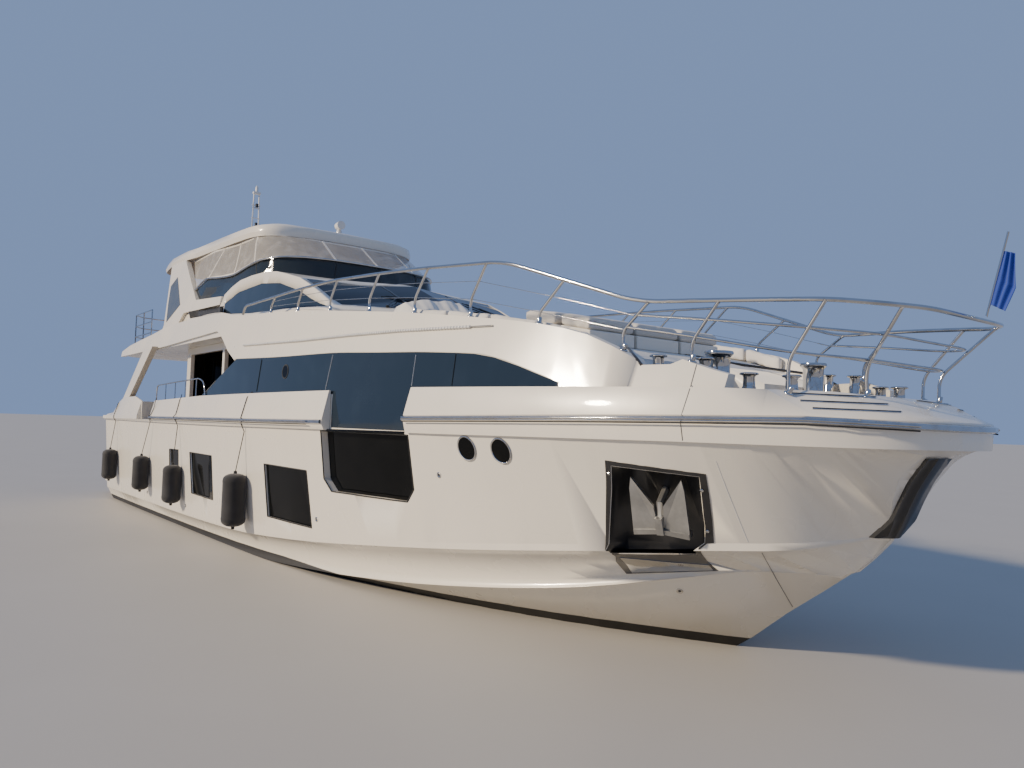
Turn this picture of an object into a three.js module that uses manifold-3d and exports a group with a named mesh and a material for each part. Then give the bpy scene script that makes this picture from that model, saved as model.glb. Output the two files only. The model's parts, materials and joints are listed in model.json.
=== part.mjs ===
import * as THREE from 'three';
import { mergeVertices } from 'three/addons/utils/BufferGeometryUtils.js';
import Module from 'manifold-3d';

// Motor yacht, 26.8 m long, afloat at rest.
// Millimetres. +X points to the bow, +Y to port, +Z up.
// The origin is amidships, on the centreline, at the waterline.
// Tables give "aft", the distance aft of the tip of the bow rub rail.

const wasm = await Module();
wasm.setup();

// Driving dimensions

const BOW_X = 13390;
const HALF_BEAM = 3295;
const FULL_BEAM_AFT = 13000;
const TRANSOM_AFT = 24500;
const PLATFORM_AFT = 26780;
const SOLE_Z = 2050;
const FLY_SOLE_Z = 4750;
const FLY_UNDER_Z = 4480;
const BOW_DECK_Z = 2950;
const HARDTOP_Z = 7000;
const FASCIA_LIP = 90;
const BULWARK_THICK = 140;
const GAP = 0.3;
const SLIDE_GAP = 6;
const BEARING_GAP = 1.2;
const PIN_GAP = 0.5;
const SLIVER = 0.5;
const BORE_SIDES = 24;

// Hull sections: aft, keel height, chine half-breadth and height, share of the full spray rail,
// knuckle half-breadth and height, share of the full knuckle overhang, top height
const HULL_ROWS = [
  [340, 2500, 60, 2507, 0.02, 350, 2530, 0.02, 2590],
  [560, 2120, 60, 2145, 0.02, 420, 2275, 0.1, 2590],
  [830, 1560, 40, 1590, 0.02, 150, 1665, 0.2, 2590],
  [1400, 1070, 40, 1110, 0.02, 950, 1545, 0.9, 2590],
  [2100, 550, 480, 1090, 0.05, 1395, 1480, 1, 2590],
  [2810, 0, 950, 950, 0.6, 1710, 1400, 1, 2585],
  [4100, -620, 1500, 660, 1, 2115, 1250, 1, 2575],
  [5600, -1000, 2000, 440, 1, 2455, 1080, 1, 2560],
  [7500, -1200, 2400, 240, 1, 2745, 890, 1, 2550],
  [10000, -1300, 2720, 70, 1, 2960, 650, 0.8, 2535],
  [13000, -1320, 2900, -50, 1, 3050, 460, 0.5, 2515],
  [17000, -1250, 2960, -110, 1, 3080, 400, 0.3, 2500],
  [21000, -1120, 2960, -130, 1, 3080, 390, 0.3, 2500],
  [TRANSOM_AFT, -950, 2940, -130, 1, 3060, 380, 0.3, 2500],
];
const SPRAY_RAIL = { flat: 110, step: 85, rise: 110 };
const KNUCKLE = { face: 85, lean: 12, step: 55, sag: 8 };

// Heights along the sheer: aft, rub rail centre
const RUB_RAIL_ROWS = [[0, 2810], [250, 2825], [900, 2850], [2900, 2820], [6300, 2760],
  [8400, 2670], [11400, 2650], [14500, 2640], [18700, 2620], [TRANSOM_AFT, 2580]];
// Nose of the bow bulwark: aft, crest inset, crest height, top height inboard
const NOSE_ROWS = [[6, 4, 2865, 2872], [25, 6, 2868, 2880], [80, 8, 2875, 2900], [180, 10, 2880, 2930],
  [350, 14, 2888, 2985], [600, 20, 2895, 3080], [880, 40, 2925, 3150], [1250, 120, 3150, 3165]];
// Forward bulwark: aft, crest height
const FORWARD_BULWARK_ROWS = [[1250, 3150], [1700, 3165], [2100, 3170], [2750, 3175], [3400, 3180],
  [4100, 3185], [4900, 3190], [5600, 3195], [6250, 3200]];
// Aft bulwark: aft, crest height
const AFT_BULWARK_ROWS = [[8500, 3180], [9300, 3178], [10200, 3174], [11500, 3168], [13000, 3162],
  [14900, 3150], [18300, 3070], [20150, 3060], [20900, 3195], [22250, 3180], [22870, 3040],
  [23610, 2720], [TRANSOM_AFT, 2660]];
// Upper house: aft, glass top, sheer edge, foredeck
const HOUSE_ROWS = [[2750, 3160, 3500, 3360], [3400, 3190, 3810, 3600], [4100, 3400, 3980, 3800],
  [4900, 3630, 4100, 3950], [5600, 3680, 4190, 4050], [6300, 3720, 4275, 4135], [7000, 3745, 4355, 4215],
  [7700, 3775, 4425, 4285], [8500, 3810, 4500, 4360], [9300, 3822, 4580, 4440], [10200, 3830, 4655, 4515],
  [11500, 3860, 4740, 4600], [FULL_BEAM_AFT, 3910, 4825, 4685]];
const HOUSE_FOOT_INSET = 150;
const HOUSE_GLASS_INSET = 200;
const HOUSE_EDGE_INSET = 350;
const HOUSE_COPING = 120;

const group = new THREE.Group();

// Finishes

const finish = (color, roughness, metalness = 0) =>
  new THREE.MeshStandardMaterial({ color, roughness, metalness });
const gelcoat = finish(0xe9e4d8, 0.25);
const greyPaint = finish(0x5c5f63, 0.4);
const darkGlass = finish(0x1c2733, 0.08);
const clearVinyl = finish(0xc9d2d6, 0.2);
const steel = finish(0xc8cbce, 0.15, 1);
const galvanised = finish(0x9a9d9c, 0.5, 0.8);
const bronze = finish(0x9c7a48, 0.35, 1);
const teak = finish(0xa9825a, 0.6);
const cushionCloth = finish(0xe6e2da, 0.9);
const castGrey = finish(0x7d8386, 0.6, 0.3);
const flagCloth = finish(0x2b4fa0, 0.9);
const lampWhite = finish(0xf2f2f0, 0.3);

// Solids

function orient(triangles, points) {
  let volume = 0;
  const [a, b, c] = [new THREE.Vector3(), new THREE.Vector3(), new THREE.Vector3()];
  for (let i = 0; i < triangles.length; i += 3) {
    a.fromArray(points, triangles[i] * 3);
    b.fromArray(points, triangles[i + 1] * 3);
    c.fromArray(points, triangles[i + 2] * 3);
    volume += a.dot(b.cross(c));
  }
  if (volume < 0) {
    for (let i = 0; i < triangles.length; i += 3) {
      [triangles[i + 1], triangles[i + 2]] = [triangles[i + 2], triangles[i + 1]];
    }
  }
}

function toSolid(geometry) {
  const bare = new THREE.BufferGeometry();
  bare.setAttribute('position', geometry.getAttribute('position').clone());
  if (geometry.index) bare.setIndex(geometry.index.clone());
  const merged = mergeVertices(bare, 1e-3);
  const kept = [];
  const index = merged.index.array;
  for (let i = 0; i < index.length; i += 3) {
    const [a, b, c] = [index[i], index[i + 1], index[i + 2]];
    if (a !== b && b !== c && c !== a) kept.push(a, b, c);
  }
  const points = new Float32Array(merged.getAttribute('position').array);
  orient(kept, points);
  return new wasm.Manifold(new wasm.Mesh({
    numProp: 3, vertProperties: points, triVerts: new Uint32Array(kept),
  }));
}

function addNode(name, solid, material) {
  const mesh = solid.getMesh();
  const geometry = new THREE.BufferGeometry();
  geometry.setAttribute('position', new THREE.BufferAttribute(new Float32Array(mesh.vertProperties), 3));
  geometry.setIndex(Array.from(mesh.triVerts));
  geometry.computeVertexNormals();
  const node = new THREE.Mesh(geometry, material);
  node.name = name;
  group.add(node);
}

const join = (...solids) => solids.reduce((all, one) => all.add(one));
const mirrored = solid => solid.mirror([0, 1, 0]);
// A solid widened by the gap along each axis, to cut what rests on it
const clearOf = solid => join(solid, ...[[GAP, 0, 0], [-GAP, 0, 0], [0, GAP, 0], [0, -GAP, 0], [0, 0, GAP],
  [0, 0, -GAP]].map(step => solid.translate(step)));

function addPair(name, solid, material) {
  addNode(`${name}_port`, solid, material);
  addNode(`${name}_starboard`, mirrored(solid), material);
}

// A closed skin over rings that all have the same number of [aft, y, z] points.
// The diagonals of its faces are mirrored from port to starboard.
function loft(rings) {
  const count = rings[0].length;
  const points = rings.flat().flatMap(([aft, y, z]) => [BOW_X - aft, y, z]);
  const index = [];
  for (let r = 0; r + 1 < rings.length; r += 1) {
    for (let i = 0; i < count; i += 1) {
      const next = (i + 1) % count;
      const a = r * count + i;
      const b = r * count + next;
      const starboard = rings[r][i][1] + rings[r][next][1] < 0;
      if (starboard) index.push(a, b, a + count, b, b + count, a + count);
      else index.push(a, b, b + count, a, b + count, a + count);
    }
  }
  const cap = (ring, base, withRing) => {
    const flat = flatten(ring);
    for (const [a, b, c] of THREE.ShapeUtils.triangulateShape(flat, [])) {
      const turn = flat[b].clone().sub(flat[a]).cross(flat[c].clone().sub(flat[a]));
      const swap = (turn > 0) !== withRing;
      index.push(base + a, base + (swap ? c : b), base + (swap ? b : c));
    }
  };
  cap(rings[0], 0, false);
  cap(rings[rings.length - 1], (rings.length - 1) * count, true);
  const geometry = new THREE.BufferGeometry();
  geometry.setAttribute('position', new THREE.BufferAttribute(new Float32Array(points), 3));
  geometry.setIndex(index);
  return toSolid(geometry);
}

function ringNormal(ring) {
  const normal = new THREE.Vector3();
  ring.forEach(([x, y, z], i) => {
    const [nx, ny, nz] = ring[(i + 1) % ring.length];
    normal.x += (y - ny) * (z + nz);
    normal.y += (z - nz) * (x + nx);
    normal.z += (x - nx) * (y + ny);
  });
  return normal.normalize();
}

// The ring seen along its own normal, turning anticlockwise as the normal does
function flatten(ring) {
  const normal = ringNormal(ring);
  const side = Math.abs(normal.z) < 0.9 ? new THREE.Vector3(0, 0, 1) : new THREE.Vector3(1, 0, 0);
  const u = new THREE.Vector3().crossVectors(side, normal).normalize();
  const v = new THREE.Vector3().crossVectors(normal, u);
  return ring.map(([x, y, z]) => {
    const p = new THREE.Vector3(x, y, z);
    return new THREE.Vector2(p.dot(u), p.dot(v));
  });
}

// Straight prisms of an outline: side view [aft, z], plan [aft, y], cross-section [y, z]
const sidePrism = (outline, y0, y1) => loft([y0, y1].map(y => outline.map(([aft, z]) => [aft, y, z])));
const planPrism = (outline, z0, z1) => loft([z0, z1].map(z => outline.map(([aft, y]) => [aft, y, z])));
const crossPrism = (outline, aft0, aft1) =>
  loft([aft0, aft1].map(aft => outline.map(([y, z]) => [aft, y, z])));
const block = (aft0, aft1, y0, y1, z0, z1) =>
  planPrism([[aft0, y0], [aft1, y0], [aft1, y1], [aft0, y1]], z0, z1);

// A rod along a polyline of [aft, y, z] points, mitred at its corners
function rod(path, radius, sides = 8) {
  const points = path.map(([aft, y, z]) => new THREE.Vector3(BOW_X - aft, y, z));
  const heading = i => points[i + 1].clone().sub(points[i]).normalize();
  const first = heading(0);
  const aside = Math.abs(first.z) < 0.9 ? new THREE.Vector3(0, 0, 1) : new THREE.Vector3(1, 0, 0);
  const u = new THREE.Vector3().crossVectors(first, aside).normalize();
  const v = new THREE.Vector3().crossVectors(first, u);
  let ring = [];
  for (let i = 0; i < sides; i += 1) {
    const angle = (2 * Math.PI * i) / sides;
    ring.push(points[0].clone().addScaledVector(u, radius * Math.cos(angle))
      .addScaledVector(v, radius * Math.sin(angle)));
  }
  const rings = [ring];
  for (let i = 1; i < points.length; i += 1) {
    const along = heading(i - 1);
    const plane = i + 1 < points.length ? along.clone().add(heading(i)).normalize() : along;
    ring = ring.map(p => {
      const reach = points[i].clone().sub(p).dot(plane) / along.dot(plane);
      return p.clone().addScaledVector(along, reach);
    });
    rings.push(ring);
  }
  return loft(rings.map(points3 => points3.map(p => [BOW_X - p.x, p.y, p.z])));
}

// A round drum on a vertical axis from rows of [radius, z]
function drum(aft, y, rows, sides = 12) {
  const profile = [[0, rows[0][1]], ...rows, [0, rows[rows.length - 1][1]]];
  const geometry = new THREE.LatheGeometry(profile.map(([r, z]) => new THREE.Vector2(r, z)), sides);
  geometry.rotateX(Math.PI / 2);
  geometry.translate(BOW_X - aft, y, 0);
  return toSolid(geometry);
}

// The same drum laid with its axis along a direction
function spindle(centre, direction, rows, sides = 12) {
  const profile = [[0, rows[0][1]], ...rows, [0, rows[rows.length - 1][1]]];
  const geometry = new THREE.LatheGeometry(profile.map(([r, z]) => new THREE.Vector2(r, z)), sides);
  const up = new THREE.Vector3(0, 1, 0);
  geometry.applyQuaternion(new THREE.Quaternion().setFromUnitVectors(up, direction.clone().normalize()));
  geometry.translate(BOW_X - centre[0], centre[1], centre[2]);
  return toSolid(geometry);
}

// Lines of the yacht

// Half-breadth of the rub rail
function plan(aft) {
  if (aft >= FULL_BEAM_AFT) return HALF_BEAM;
  return HALF_BEAM * (1 - (1 - aft / FULL_BEAM_AFT) ** 2.2) ** 0.364;
}

function along(rows, aft, column = 1) {
  if (aft <= rows[0][0]) return rows[0][column];
  for (let i = 1; i < rows.length; i += 1) {
    const [a, b] = [rows[i - 1], rows[i]];
    if (aft <= b[0]) return a[column] + ((b[column] - a[column]) * (aft - a[0])) / (b[0] - a[0]);
  }
  return rows[rows.length - 1][column];
}
const hullTop = aft => along(HULL_ROWS, aft, 8);

// The same rows with more between them, on a curve through each column that never overshoots.
// A column named straight stays on its straight lines.
function denser(rows, parts, straight = -1) {
  const rise = (i, c) => (rows[i + 1][c] - rows[i][c]) / (rows[i + 1][0] - rows[i][0]);
  const slope = (i, c) => {
    if (i === 0) return rise(0, c);
    if (i === rows.length - 1) return rise(i - 1, c);
    const [a, b] = [rise(i - 1, c), rise(i, c)];
    return a * b <= 0 ? 0 : (2 * a * b) / (a + b);
  };
  const between = (i, t) => rows[i].map((value, c) => {
    const end = rows[i + 1][c];
    if (c === 0 || c === straight) return value + (end - value) * t;
    const length = rows[i + 1][0] - rows[i][0];
    return value * (1 + 2 * t) * (1 - t) ** 2 + slope(i, c) * length * t * (1 - t) ** 2
      + end * t * t * (3 - 2 * t) - slope(i + 1, c) * length * t * t * (1 - t);
  });
  const dense = [];
  for (let i = 0; i + 1 < rows.length; i += 1) {
    for (let k = 0; k < parts; k += 1) dense.push(between(i, k / parts));
  }
  return [...dense, rows[rows.length - 1]];
}
const HULL_LINES = denser(HULL_ROWS, 3, 8);
const HOUSE_LINES = denser(HOUSE_ROWS, 2);
const railZ = aft => along(RUB_RAIL_ROWS, aft);

// A whole ring from its port half, listed from the foot up
const bothSides = half =>
  [...half, ...half.filter(([, y]) => y !== 0).reverse().map(([aft, y, z]) => [aft, -y, z])];

// Hull form, optionally grown or shrunk sideways
function hullForm(grow = 0) {
  return loft(HULL_LINES.map(([aft, keel, chineY, chineZ, spray, knuckleY, knuckleZ, over, top]) => {
    const least = chineY / HALF_BEAM;
    const wide = (y, order) => Math.max(y + grow, order + least);
    return bothSides([
      [aft, 0, keel],
      [aft, wide(chineY - SPRAY_RAIL.flat * spray, 4), chineZ - 10 * spray],
      [aft, wide(chineY, 6), chineZ],
      [aft, wide(chineY - SPRAY_RAIL.step * spray, 5), chineZ + SPRAY_RAIL.rise * spray],
      [aft, wide(knuckleY - (KNUCKLE.lean + KNUCKLE.step) * over, 6),
        knuckleZ - (KNUCKLE.face + KNUCKLE.sag) * over],
      [aft, wide(knuckleY - KNUCKLE.lean * over, 7), knuckleZ - KNUCKLE.face * over],
      [aft, wide(knuckleY, 8), knuckleZ],
      [aft, plan(aft) - FASCIA_LIP + grow, top],
    ]);
  }));
}
const hull = hullForm();
const hullSkin = (outer, inner, cutter) => hullForm(outer).subtract(hullForm(inner)).intersect(cutter);

// Upper house form, optionally shrunk sideways
function houseRows(rows, inset = 0) {
  return loft(rows.map(([aft, glassTop, edge, deck]) => {
    const half = plan(aft) - inset;
    const foot = hullTop(aft) + GAP;
    return bothSides([
      [aft, half - HOUSE_FOOT_INSET, foot],
      [aft, half - HOUSE_FOOT_INSET, 3000],
      [aft, half - HOUSE_GLASS_INSET, glassTop],
      [aft, half - HOUSE_EDGE_INSET, edge],
      [aft, half - HOUSE_EDGE_INSET - HOUSE_COPING, edge],
      [aft, half - HOUSE_EDGE_INSET - HOUSE_COPING - 20, deck],
    ]);
  }));
}
const houseForm = (inset = 0) => houseRows(HOUSE_LINES, inset);

// Openings in the hull sides, [aft, z]
const TALL_WINDOW = [[8690, 2520], [6268, 2520], [6314, 1755], [6510, 1564], [8500, 1552], [8719, 1743]];
const SMALL_WINDOWS = [
  [[9298, 1831], [11023, 1847], [10973, 888], [9239, 877]],
  [[13985, 1851], [15530, 1857], [15431, 936], [13943, 916]],
  [[16440, 1872], [17200, 1862], [17220, 930], [16460, 940]],
];
const ANCHOR_POCKET = [[2945, 2283], [2010, 2219], [2139, 1680], [2202, 1477], [2380, 1320], [3337, 1221],
  [3265, 1345]];
const WINDOW_DEPTH = 36;
const TALL_DEPTH = 150;
const POCKET_DEPTH = 300;

// An outline moved inwards by a distance, with mitred corners
function shrunk(outline, by) {
  const points = outline.map(([u, v]) => new THREE.Vector2(u, v));
  const turn = Math.sign(THREE.ShapeUtils.area(points));
  const inward = (from, to) =>
    new THREE.Vector2(from.y - to.y, to.x - from.x).normalize().multiplyScalar(turn);
  return points.map((point, i) => {
    const before = inward(points[(i + points.length - 1) % points.length], point);
    const after = inward(point, points[(i + 1) % points.length]);
    const bisector = before.clone().add(after).normalize();
    return point.clone().addScaledVector(bisector, by / bisector.dot(before)).toArray();
  });
}

const ENGINE = { aft0: 18000, aft1: 20300, y0: 700, y1: 1650, z0: -299.7, z1: 900 };
const ENGINE_ROOM = block(17400, 21300, -2000, 2000, -300, 2200);
const GARAGE = { aft0: 21800, half: 1600, z0: 640, z1: 1550 };
const GARAGE_HINGE = { aft: 24470, z: 1506, pin: 15, reach: 30 };
const WELL_HALF = 3150;
const WELL_AFT = 24350;
const WELL_Z = 1900;
const STAIR = { steps: 5, tread: 270, y0: 1850, y1: 2900, top: SOLE_Z, rise: 286 };
const SHAFT = { y: 1250, aft0: 19000, z0: -640, aft1: 22950, z1: -1330, radius: 55 };
const RUDDER = { aft: 23750, y: 1250, stock: 50, top: -400, bottom: -1850 };
const shaftRise = (SHAFT.z0 - SHAFT.z1) / (SHAFT.aft1 - SHAFT.aft0);
const shaftZ = aft => SHAFT.z0 - (aft - SHAFT.aft0) * shaftRise;

function garagePin(radius, reach, sides) {
  const end = GARAGE.half + reach;
  return rod([[GARAGE_HINGE.aft, -end, GARAGE_HINGE.z], [GARAGE_HINGE.aft, end, GARAGE_HINGE.z]], radius, sides);
}

function buildHull() {
  let body = hull;
  for (const side of [1, -1]) {
    const reach = (outline, depth) => hullSkin(5, -depth, sidePrism(outline, side * 200, side * 3400));
    for (const outline of SMALL_WINDOWS) body = body.subtract(reach(outline, WINDOW_DEPTH));
    body = body.subtract(reach(TALL_WINDOW, TALL_DEPTH)).subtract(reach(ANCHOR_POCKET, POCKET_DEPTH));
    for (let i = 0; i < STAIR.steps; i += 1) {
      const aft = TRANSOM_AFT + 10 - (STAIR.steps - i) * STAIR.tread;
      const z = STAIR.top - (i + 1) * STAIR.rise;
      body = body.subtract(block(aft, TRANSOM_AFT + 20, side * STAIR.y0, side * STAIR.y1, z, 2700));
    }
    body = body.add(rod([[SHAFT.aft0 - 100, side * SHAFT.y, shaftZ(SHAFT.aft0 - 100)],
      [SHAFT.aft0 + 1300, side * SHAFT.y, shaftZ(SHAFT.aft0 + 1300)]], 100, 10));
    const hubAft = 21900;
    body = body.add(rod([[hubAft, side * SHAFT.y, shaftZ(hubAft)],
      [hubAft + 420, side * SHAFT.y, shaftZ(hubAft + 420)]], 110, 10));
    for (const lean of [-280, 280]) {
      body = body.add(rod([[hubAft + 210, side * SHAFT.y, shaftZ(hubAft + 210)],
        [hubAft + 210, side * SHAFT.y + lean, -500]], 40, 6));
    }
    body = body.subtract(rod([[SHAFT.aft0 - GAP, side * SHAFT.y, shaftZ(SHAFT.aft0 - GAP)],
      [SHAFT.aft1, side * SHAFT.y, shaftZ(SHAFT.aft1)]], SHAFT.radius + BEARING_GAP, BORE_SIDES));
    body = body.subtract(drum(RUDDER.aft, side * RUDDER.y,
      [[RUDDER.stock + BEARING_GAP, -1400], [RUDDER.stock + BEARING_GAP, RUDDER.top + GAP]], BORE_SIDES));
    body = body.add(block(TRANSOM_AFT - 5, TRANSOM_AFT + 60, side * 1640, side * 1740, -700, 1500));
  }
  body = body.subtract(block(FULL_BEAM_AFT + 20, WELL_AFT, -WELL_HALF, WELL_HALF, WELL_Z, 2700));
  body = body.subtract(ENGINE_ROOM);
  body = body.subtract(block(GARAGE.aft0, TRANSOM_AFT + 20, -GARAGE.half, GARAGE.half, GARAGE.z0, GARAGE.z1));
  return body.subtract(garagePin(GARAGE_HINGE.pin + PIN_GAP, GARAGE_HINGE.reach + 2, BORE_SIDES));
}
addNode('hull', buildHull(), gelcoat);

addPair('engine', block(ENGINE.aft0, ENGINE.aft1, ENGINE.y0, ENGINE.y1, ENGINE.z0, ENGINE.z1), castGrey);

// Black guard over the stem
const STEM_GUARD = { z0: 1620, z1: 2500, reach: 40, aft: 980 };
const stemRegion = block(0, STEM_GUARD.aft, -260, 260, STEM_GUARD.z0, STEM_GUARD.z1);
addNode('stem_guard', hullForm(25).translate([STEM_GUARD.reach, 0, 0]).intersect(stemRegion)
  .subtract(hullForm(GAP)), greyPaint);

const tallPane = sidePrism(shrunk(TALL_WINDOW, 3), 200, 3400);
addPair('hull_window', hullSkin(-(TALL_DEPTH - WINDOW_DEPTH), -(TALL_DEPTH - GAP), tallPane), darkGlass);

// Decks inside the bulwarks

function buildMainDeck() {
  let deck = block(FULL_BEAM_AFT + 21, WELL_AFT - GAP, -(WELL_HALF - GAP), WELL_HALF - GAP, WELL_Z + GAP, SOLE_Z);
  for (const side of [1, -1]) {
    const stairTop = TRANSOM_AFT + 8 - STAIR.steps * STAIR.tread;
    deck = deck.subtract(block(stairTop, TRANSOM_AFT, side * (STAIR.y0 - 2), side * WELL_HALF, 1800, 2200));
  }
  return deck;
}
addNode('main_deck', buildMainDeck(), teak);

// Bulwarks and rub rails

const RAIL_HALF = 45;
function bulwark(rows) {
  return loft(rows.map(([aft, crest]) => {
    const half = plan(aft);
    const rail = railZ(aft);
    const top = Math.max(crest, rail + RAIL_HALF + 20);
    return [
      [aft, half - 40, hullTop(aft) + GAP],
      [aft, half, rail - RAIL_HALF],
      [aft, half, rail + RAIL_HALF],
      [aft, half - 100, top - 30],
      [aft, half - 112, top],
      [aft, half - BULWARK_THICK, top],
      [aft, half - BULWARK_THICK, hullTop(aft) + GAP],
    ];
  }));
}
const GATE = { aft0: 18750, aft1: 20150, sill: 2560, thick: 90 };
const GATE_HINGE = { aft: 20124, y: 3179, pin: 10, depth: 35 };
const gateCut = block(GATE.aft0, GATE.aft1, 2900, 3400, GATE.sill, 3400);
const gateBore = drum(GATE_HINGE.aft, GATE_HINGE.y, [[GATE_HINGE.pin + PIN_GAP, GATE.sill - GATE_HINGE.depth - 2],
  [GATE_HINGE.pin + PIN_GAP, GATE.sill + 5]], BORE_SIDES);
addPair('bulwark', bulwark(AFT_BULWARK_ROWS).subtract(gateCut).subtract(gateBore), gelcoat);

function buildBowBulwark() {
  const nose = loft(NOSE_ROWS.map(([aft, inset, crest, top]) => {
    const half = plan(aft);
    const inner = Math.max(half * 0.35, half - inset - 420);
    return bothSides([
      [aft, half - 40, hullTop(aft) + GAP],
      [aft, half, railZ(aft) - RAIL_HALF],
      [aft, half, railZ(aft) + RAIL_HALF],
      [aft, half - inset, crest],
      [aft, inner, top],
    ]);
  }));
  const side = bulwark(FORWARD_BULWARK_ROWS);
  return join(nose, side, mirrored(side));
}
const bowBulwark = buildBowBulwark();
addNode('bow_bulwark', bowBulwark, gelcoat);

// A half-round strip that runs along the outside of the sheer
function rubRail(stations) {
  const base = stations.map(aft => [aft, plan(aft)]);
  return loft(base.map(([aft, half], i) => {
    const [a0, h0] = base[Math.max(i - 1, 0)];
    const [a1, h1] = base[Math.min(i + 1, base.length - 1)];
    const length = Math.hypot(a1 - a0, h1 - h0);
    const out = d => [aft - (d * (h1 - h0)) / length, half + (d * (a1 - a0)) / length];
    const z = railZ(aft);
    return [[...out(0.6), z - 40], [...out(42), z - 24], [...out(42), z + 24], [...out(0.6), z + 40]];
  }));
}
const AFT_RAIL_STATIONS = [8520, 9300, 10200, 11500, 13000, 18740];
addPair('rub_rail', rubRail(AFT_RAIL_STATIONS), steel);

function buildBowRubRail() {
  const stations = [6250, 5600, 4900, 4100, 3400, 2750, 2100, 1700, 1250, 880, 600, 350, 180, 80, 25, 6];
  const portPath = stations.map(aft => [aft, plan(aft)]);
  const path = [...portPath, ...portPath.map(([aft, y]) => [aft, -y]).reverse()];
  const heading = i => {
    const [a, b] = [path[i], path[i + 1]];
    return new THREE.Vector2(b[0] - a[0], b[1] - a[1]).normalize();
  };
  return loft(path.map(([aft, y], i) => {
    const before = heading(Math.max(i - 1, 0));
    const after = heading(Math.min(i, path.length - 2));
    const bisector = before.clone().add(after).normalize();
    const stretch = 1 / bisector.dot(before);
    const out = d => [aft + bisector.y * d * stretch, y - bisector.x * d * stretch];
    const z = railZ(aft);
    return [[...out(0.6), z - 40], [...out(42), z - 24], [...out(42), z + 24], [...out(0.6), z + 40]];
  }));
}
addNode('rub_rail_bow', buildBowRubRail(), steel);

// Upper house with its glass

// The upper edge of the side glass, just under the crease of the house
const GLASS_MARGIN = 12;
const glassStations = HOUSE_LINES.slice(1).map(([aft], i) => (aft + HOUSE_LINES[i][0]) / 2)
  .filter(aft => aft > 3700 && aft < 12900);
const SIDE_GLASS = [[3620, 3225], ...glassStations.map(aft => [aft, along(HOUSE_LINES, aft) - GLASS_MARGIN]),
  [12910, 3890], [14940, 3180], [14940, 3120], [8480, 3120], [8480, 2580], [6270, 2580], [6270, 3120],
  [3620, 3185]];
const PILOT_WELL = block(9950, 12950, -2250, 2250, 3500, 5200);
const GLASS_DEPTH = 36;
const GLASS_END = [14960, 3910, 4825, 4685];
const houseSkin = (outer, inner, cutter) => {
  const form = inset => houseRows([...HOUSE_LINES, GLASS_END], inset);
  return form(outer).subtract(form(inner)).intersect(cutter);
};
// Bow panels ahead of the house: aft, top height
const BOW_PANEL_ROWS = [[1690, 3315], [1850, 3360], [2060, 3430], [2210, 3485], [2330, 3430],
  [2690, 3430], [2750, 3500]];

function bowPanel() {
  return loft(BOW_PANEL_ROWS.map(([aft, top]) => {
    const half = plan(aft);
    const lean = HOUSE_GLASS_INSET + (top - 3150) * 0.43;
    return [
      [aft, half - HOUSE_FOOT_INSET, BOW_DECK_Z + GAP],
      [aft, half - HOUSE_FOOT_INSET, 3000],
      [aft, half - HOUSE_GLASS_INSET, 3150],
      [aft, half - lean, top],
      [aft, half - lean - HOUSE_COPING, top],
      [aft, half - HOUSE_FOOT_INSET - 180, BOW_DECK_Z + GAP],
    ];
  }));
}

// Steps from the bow deck up to the foredeck: aft end, tread height
const BOW_STEPS = [[2990, 3110], [3230, 3270], [3470, 3430]];
function buildHouse() {
  let body = join(houseForm(), bowPanel(), mirrored(bowPanel())).subtract(PILOT_WELL);
  for (const [aft, z] of BOW_STEPS) body = body.subtract(block(2740, aft, -420, 420, z, 4200));
  const glass = houseSkin(-5, GLASS_DEPTH, sidePrism(SIDE_GLASS, 200, 3400));
  return body.subtract(glass).subtract(mirrored(glass));
}
const upperHouse = buildHouse();
addNode('upper_house', upperHouse, gelcoat);
const houseGlass = houseSkin(6, GLASS_DEPTH - GAP, sidePrism(shrunk(SIDE_GLASS, 3), 200, 3400));
addPair('house_glass', houseGlass, darkGlass);

// Radius and height of the windlass drums; then of the bollards, as drops from their tops
const WINDLASS = [[190, 2930], [190, 3200], [150, 3250], [112, 3300], [105, 3430], [115, 3560], [150, 3610],
  [150, 3640], [110, 3650]];
const WINDLASS_AT = { aft: 2400, y: 1000 };
const BOLLARD = [[75, 160], [50, 110], [50, 40], [85, 22], [85, 0]];
// Bollards: aft, half, height of the top
const BOLLARDS = [[2640, 1780, 3560], [2140, 1580, 3520], [1690, 1400, 3350], [1330, 1160, 3330]];
function buildBowDeck() {
  let deck = loft([1250 + GAP, 1700, 2100, 2750 - GAP].map(aft => {
    const half = plan(aft) - HOUSE_FOOT_INSET;
    return bothSides([[aft, half, hullTop(aft) + GAP], [aft, half, BOW_DECK_Z]]);
  }));
  for (const side of [1, -1]) {
    deck = deck.add(drum(WINDLASS_AT.aft, side * WINDLASS_AT.y, WINDLASS, 20));
    for (const [aft, y, top] of BOLLARDS) {
      const rows = [[75, BOW_DECK_Z - 20], ...BOLLARD.map(([radius, drop]) => [radius, top - drop])];
      deck = deck.add(drum(aft, side * y, rows, 14));
    }
  }
  return deck;
}
addNode('bow_deck', buildBowDeck(), gelcoat);

// Foredeck seating
const foredeckZ = aft => along(HOUSE_LINES, aft, 3) - 40;
const onHouse = solid => solid.subtract(upperHouse.translate([0, 0, GAP]));
const SUNPAD_ROWS = [[7150, 1250, 60], [7260, 1330, 120], [7700, 1400, 135], [8400, 1430, 135],
  [9000, 1400, 135], [9100, 1350, 60]];
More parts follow.
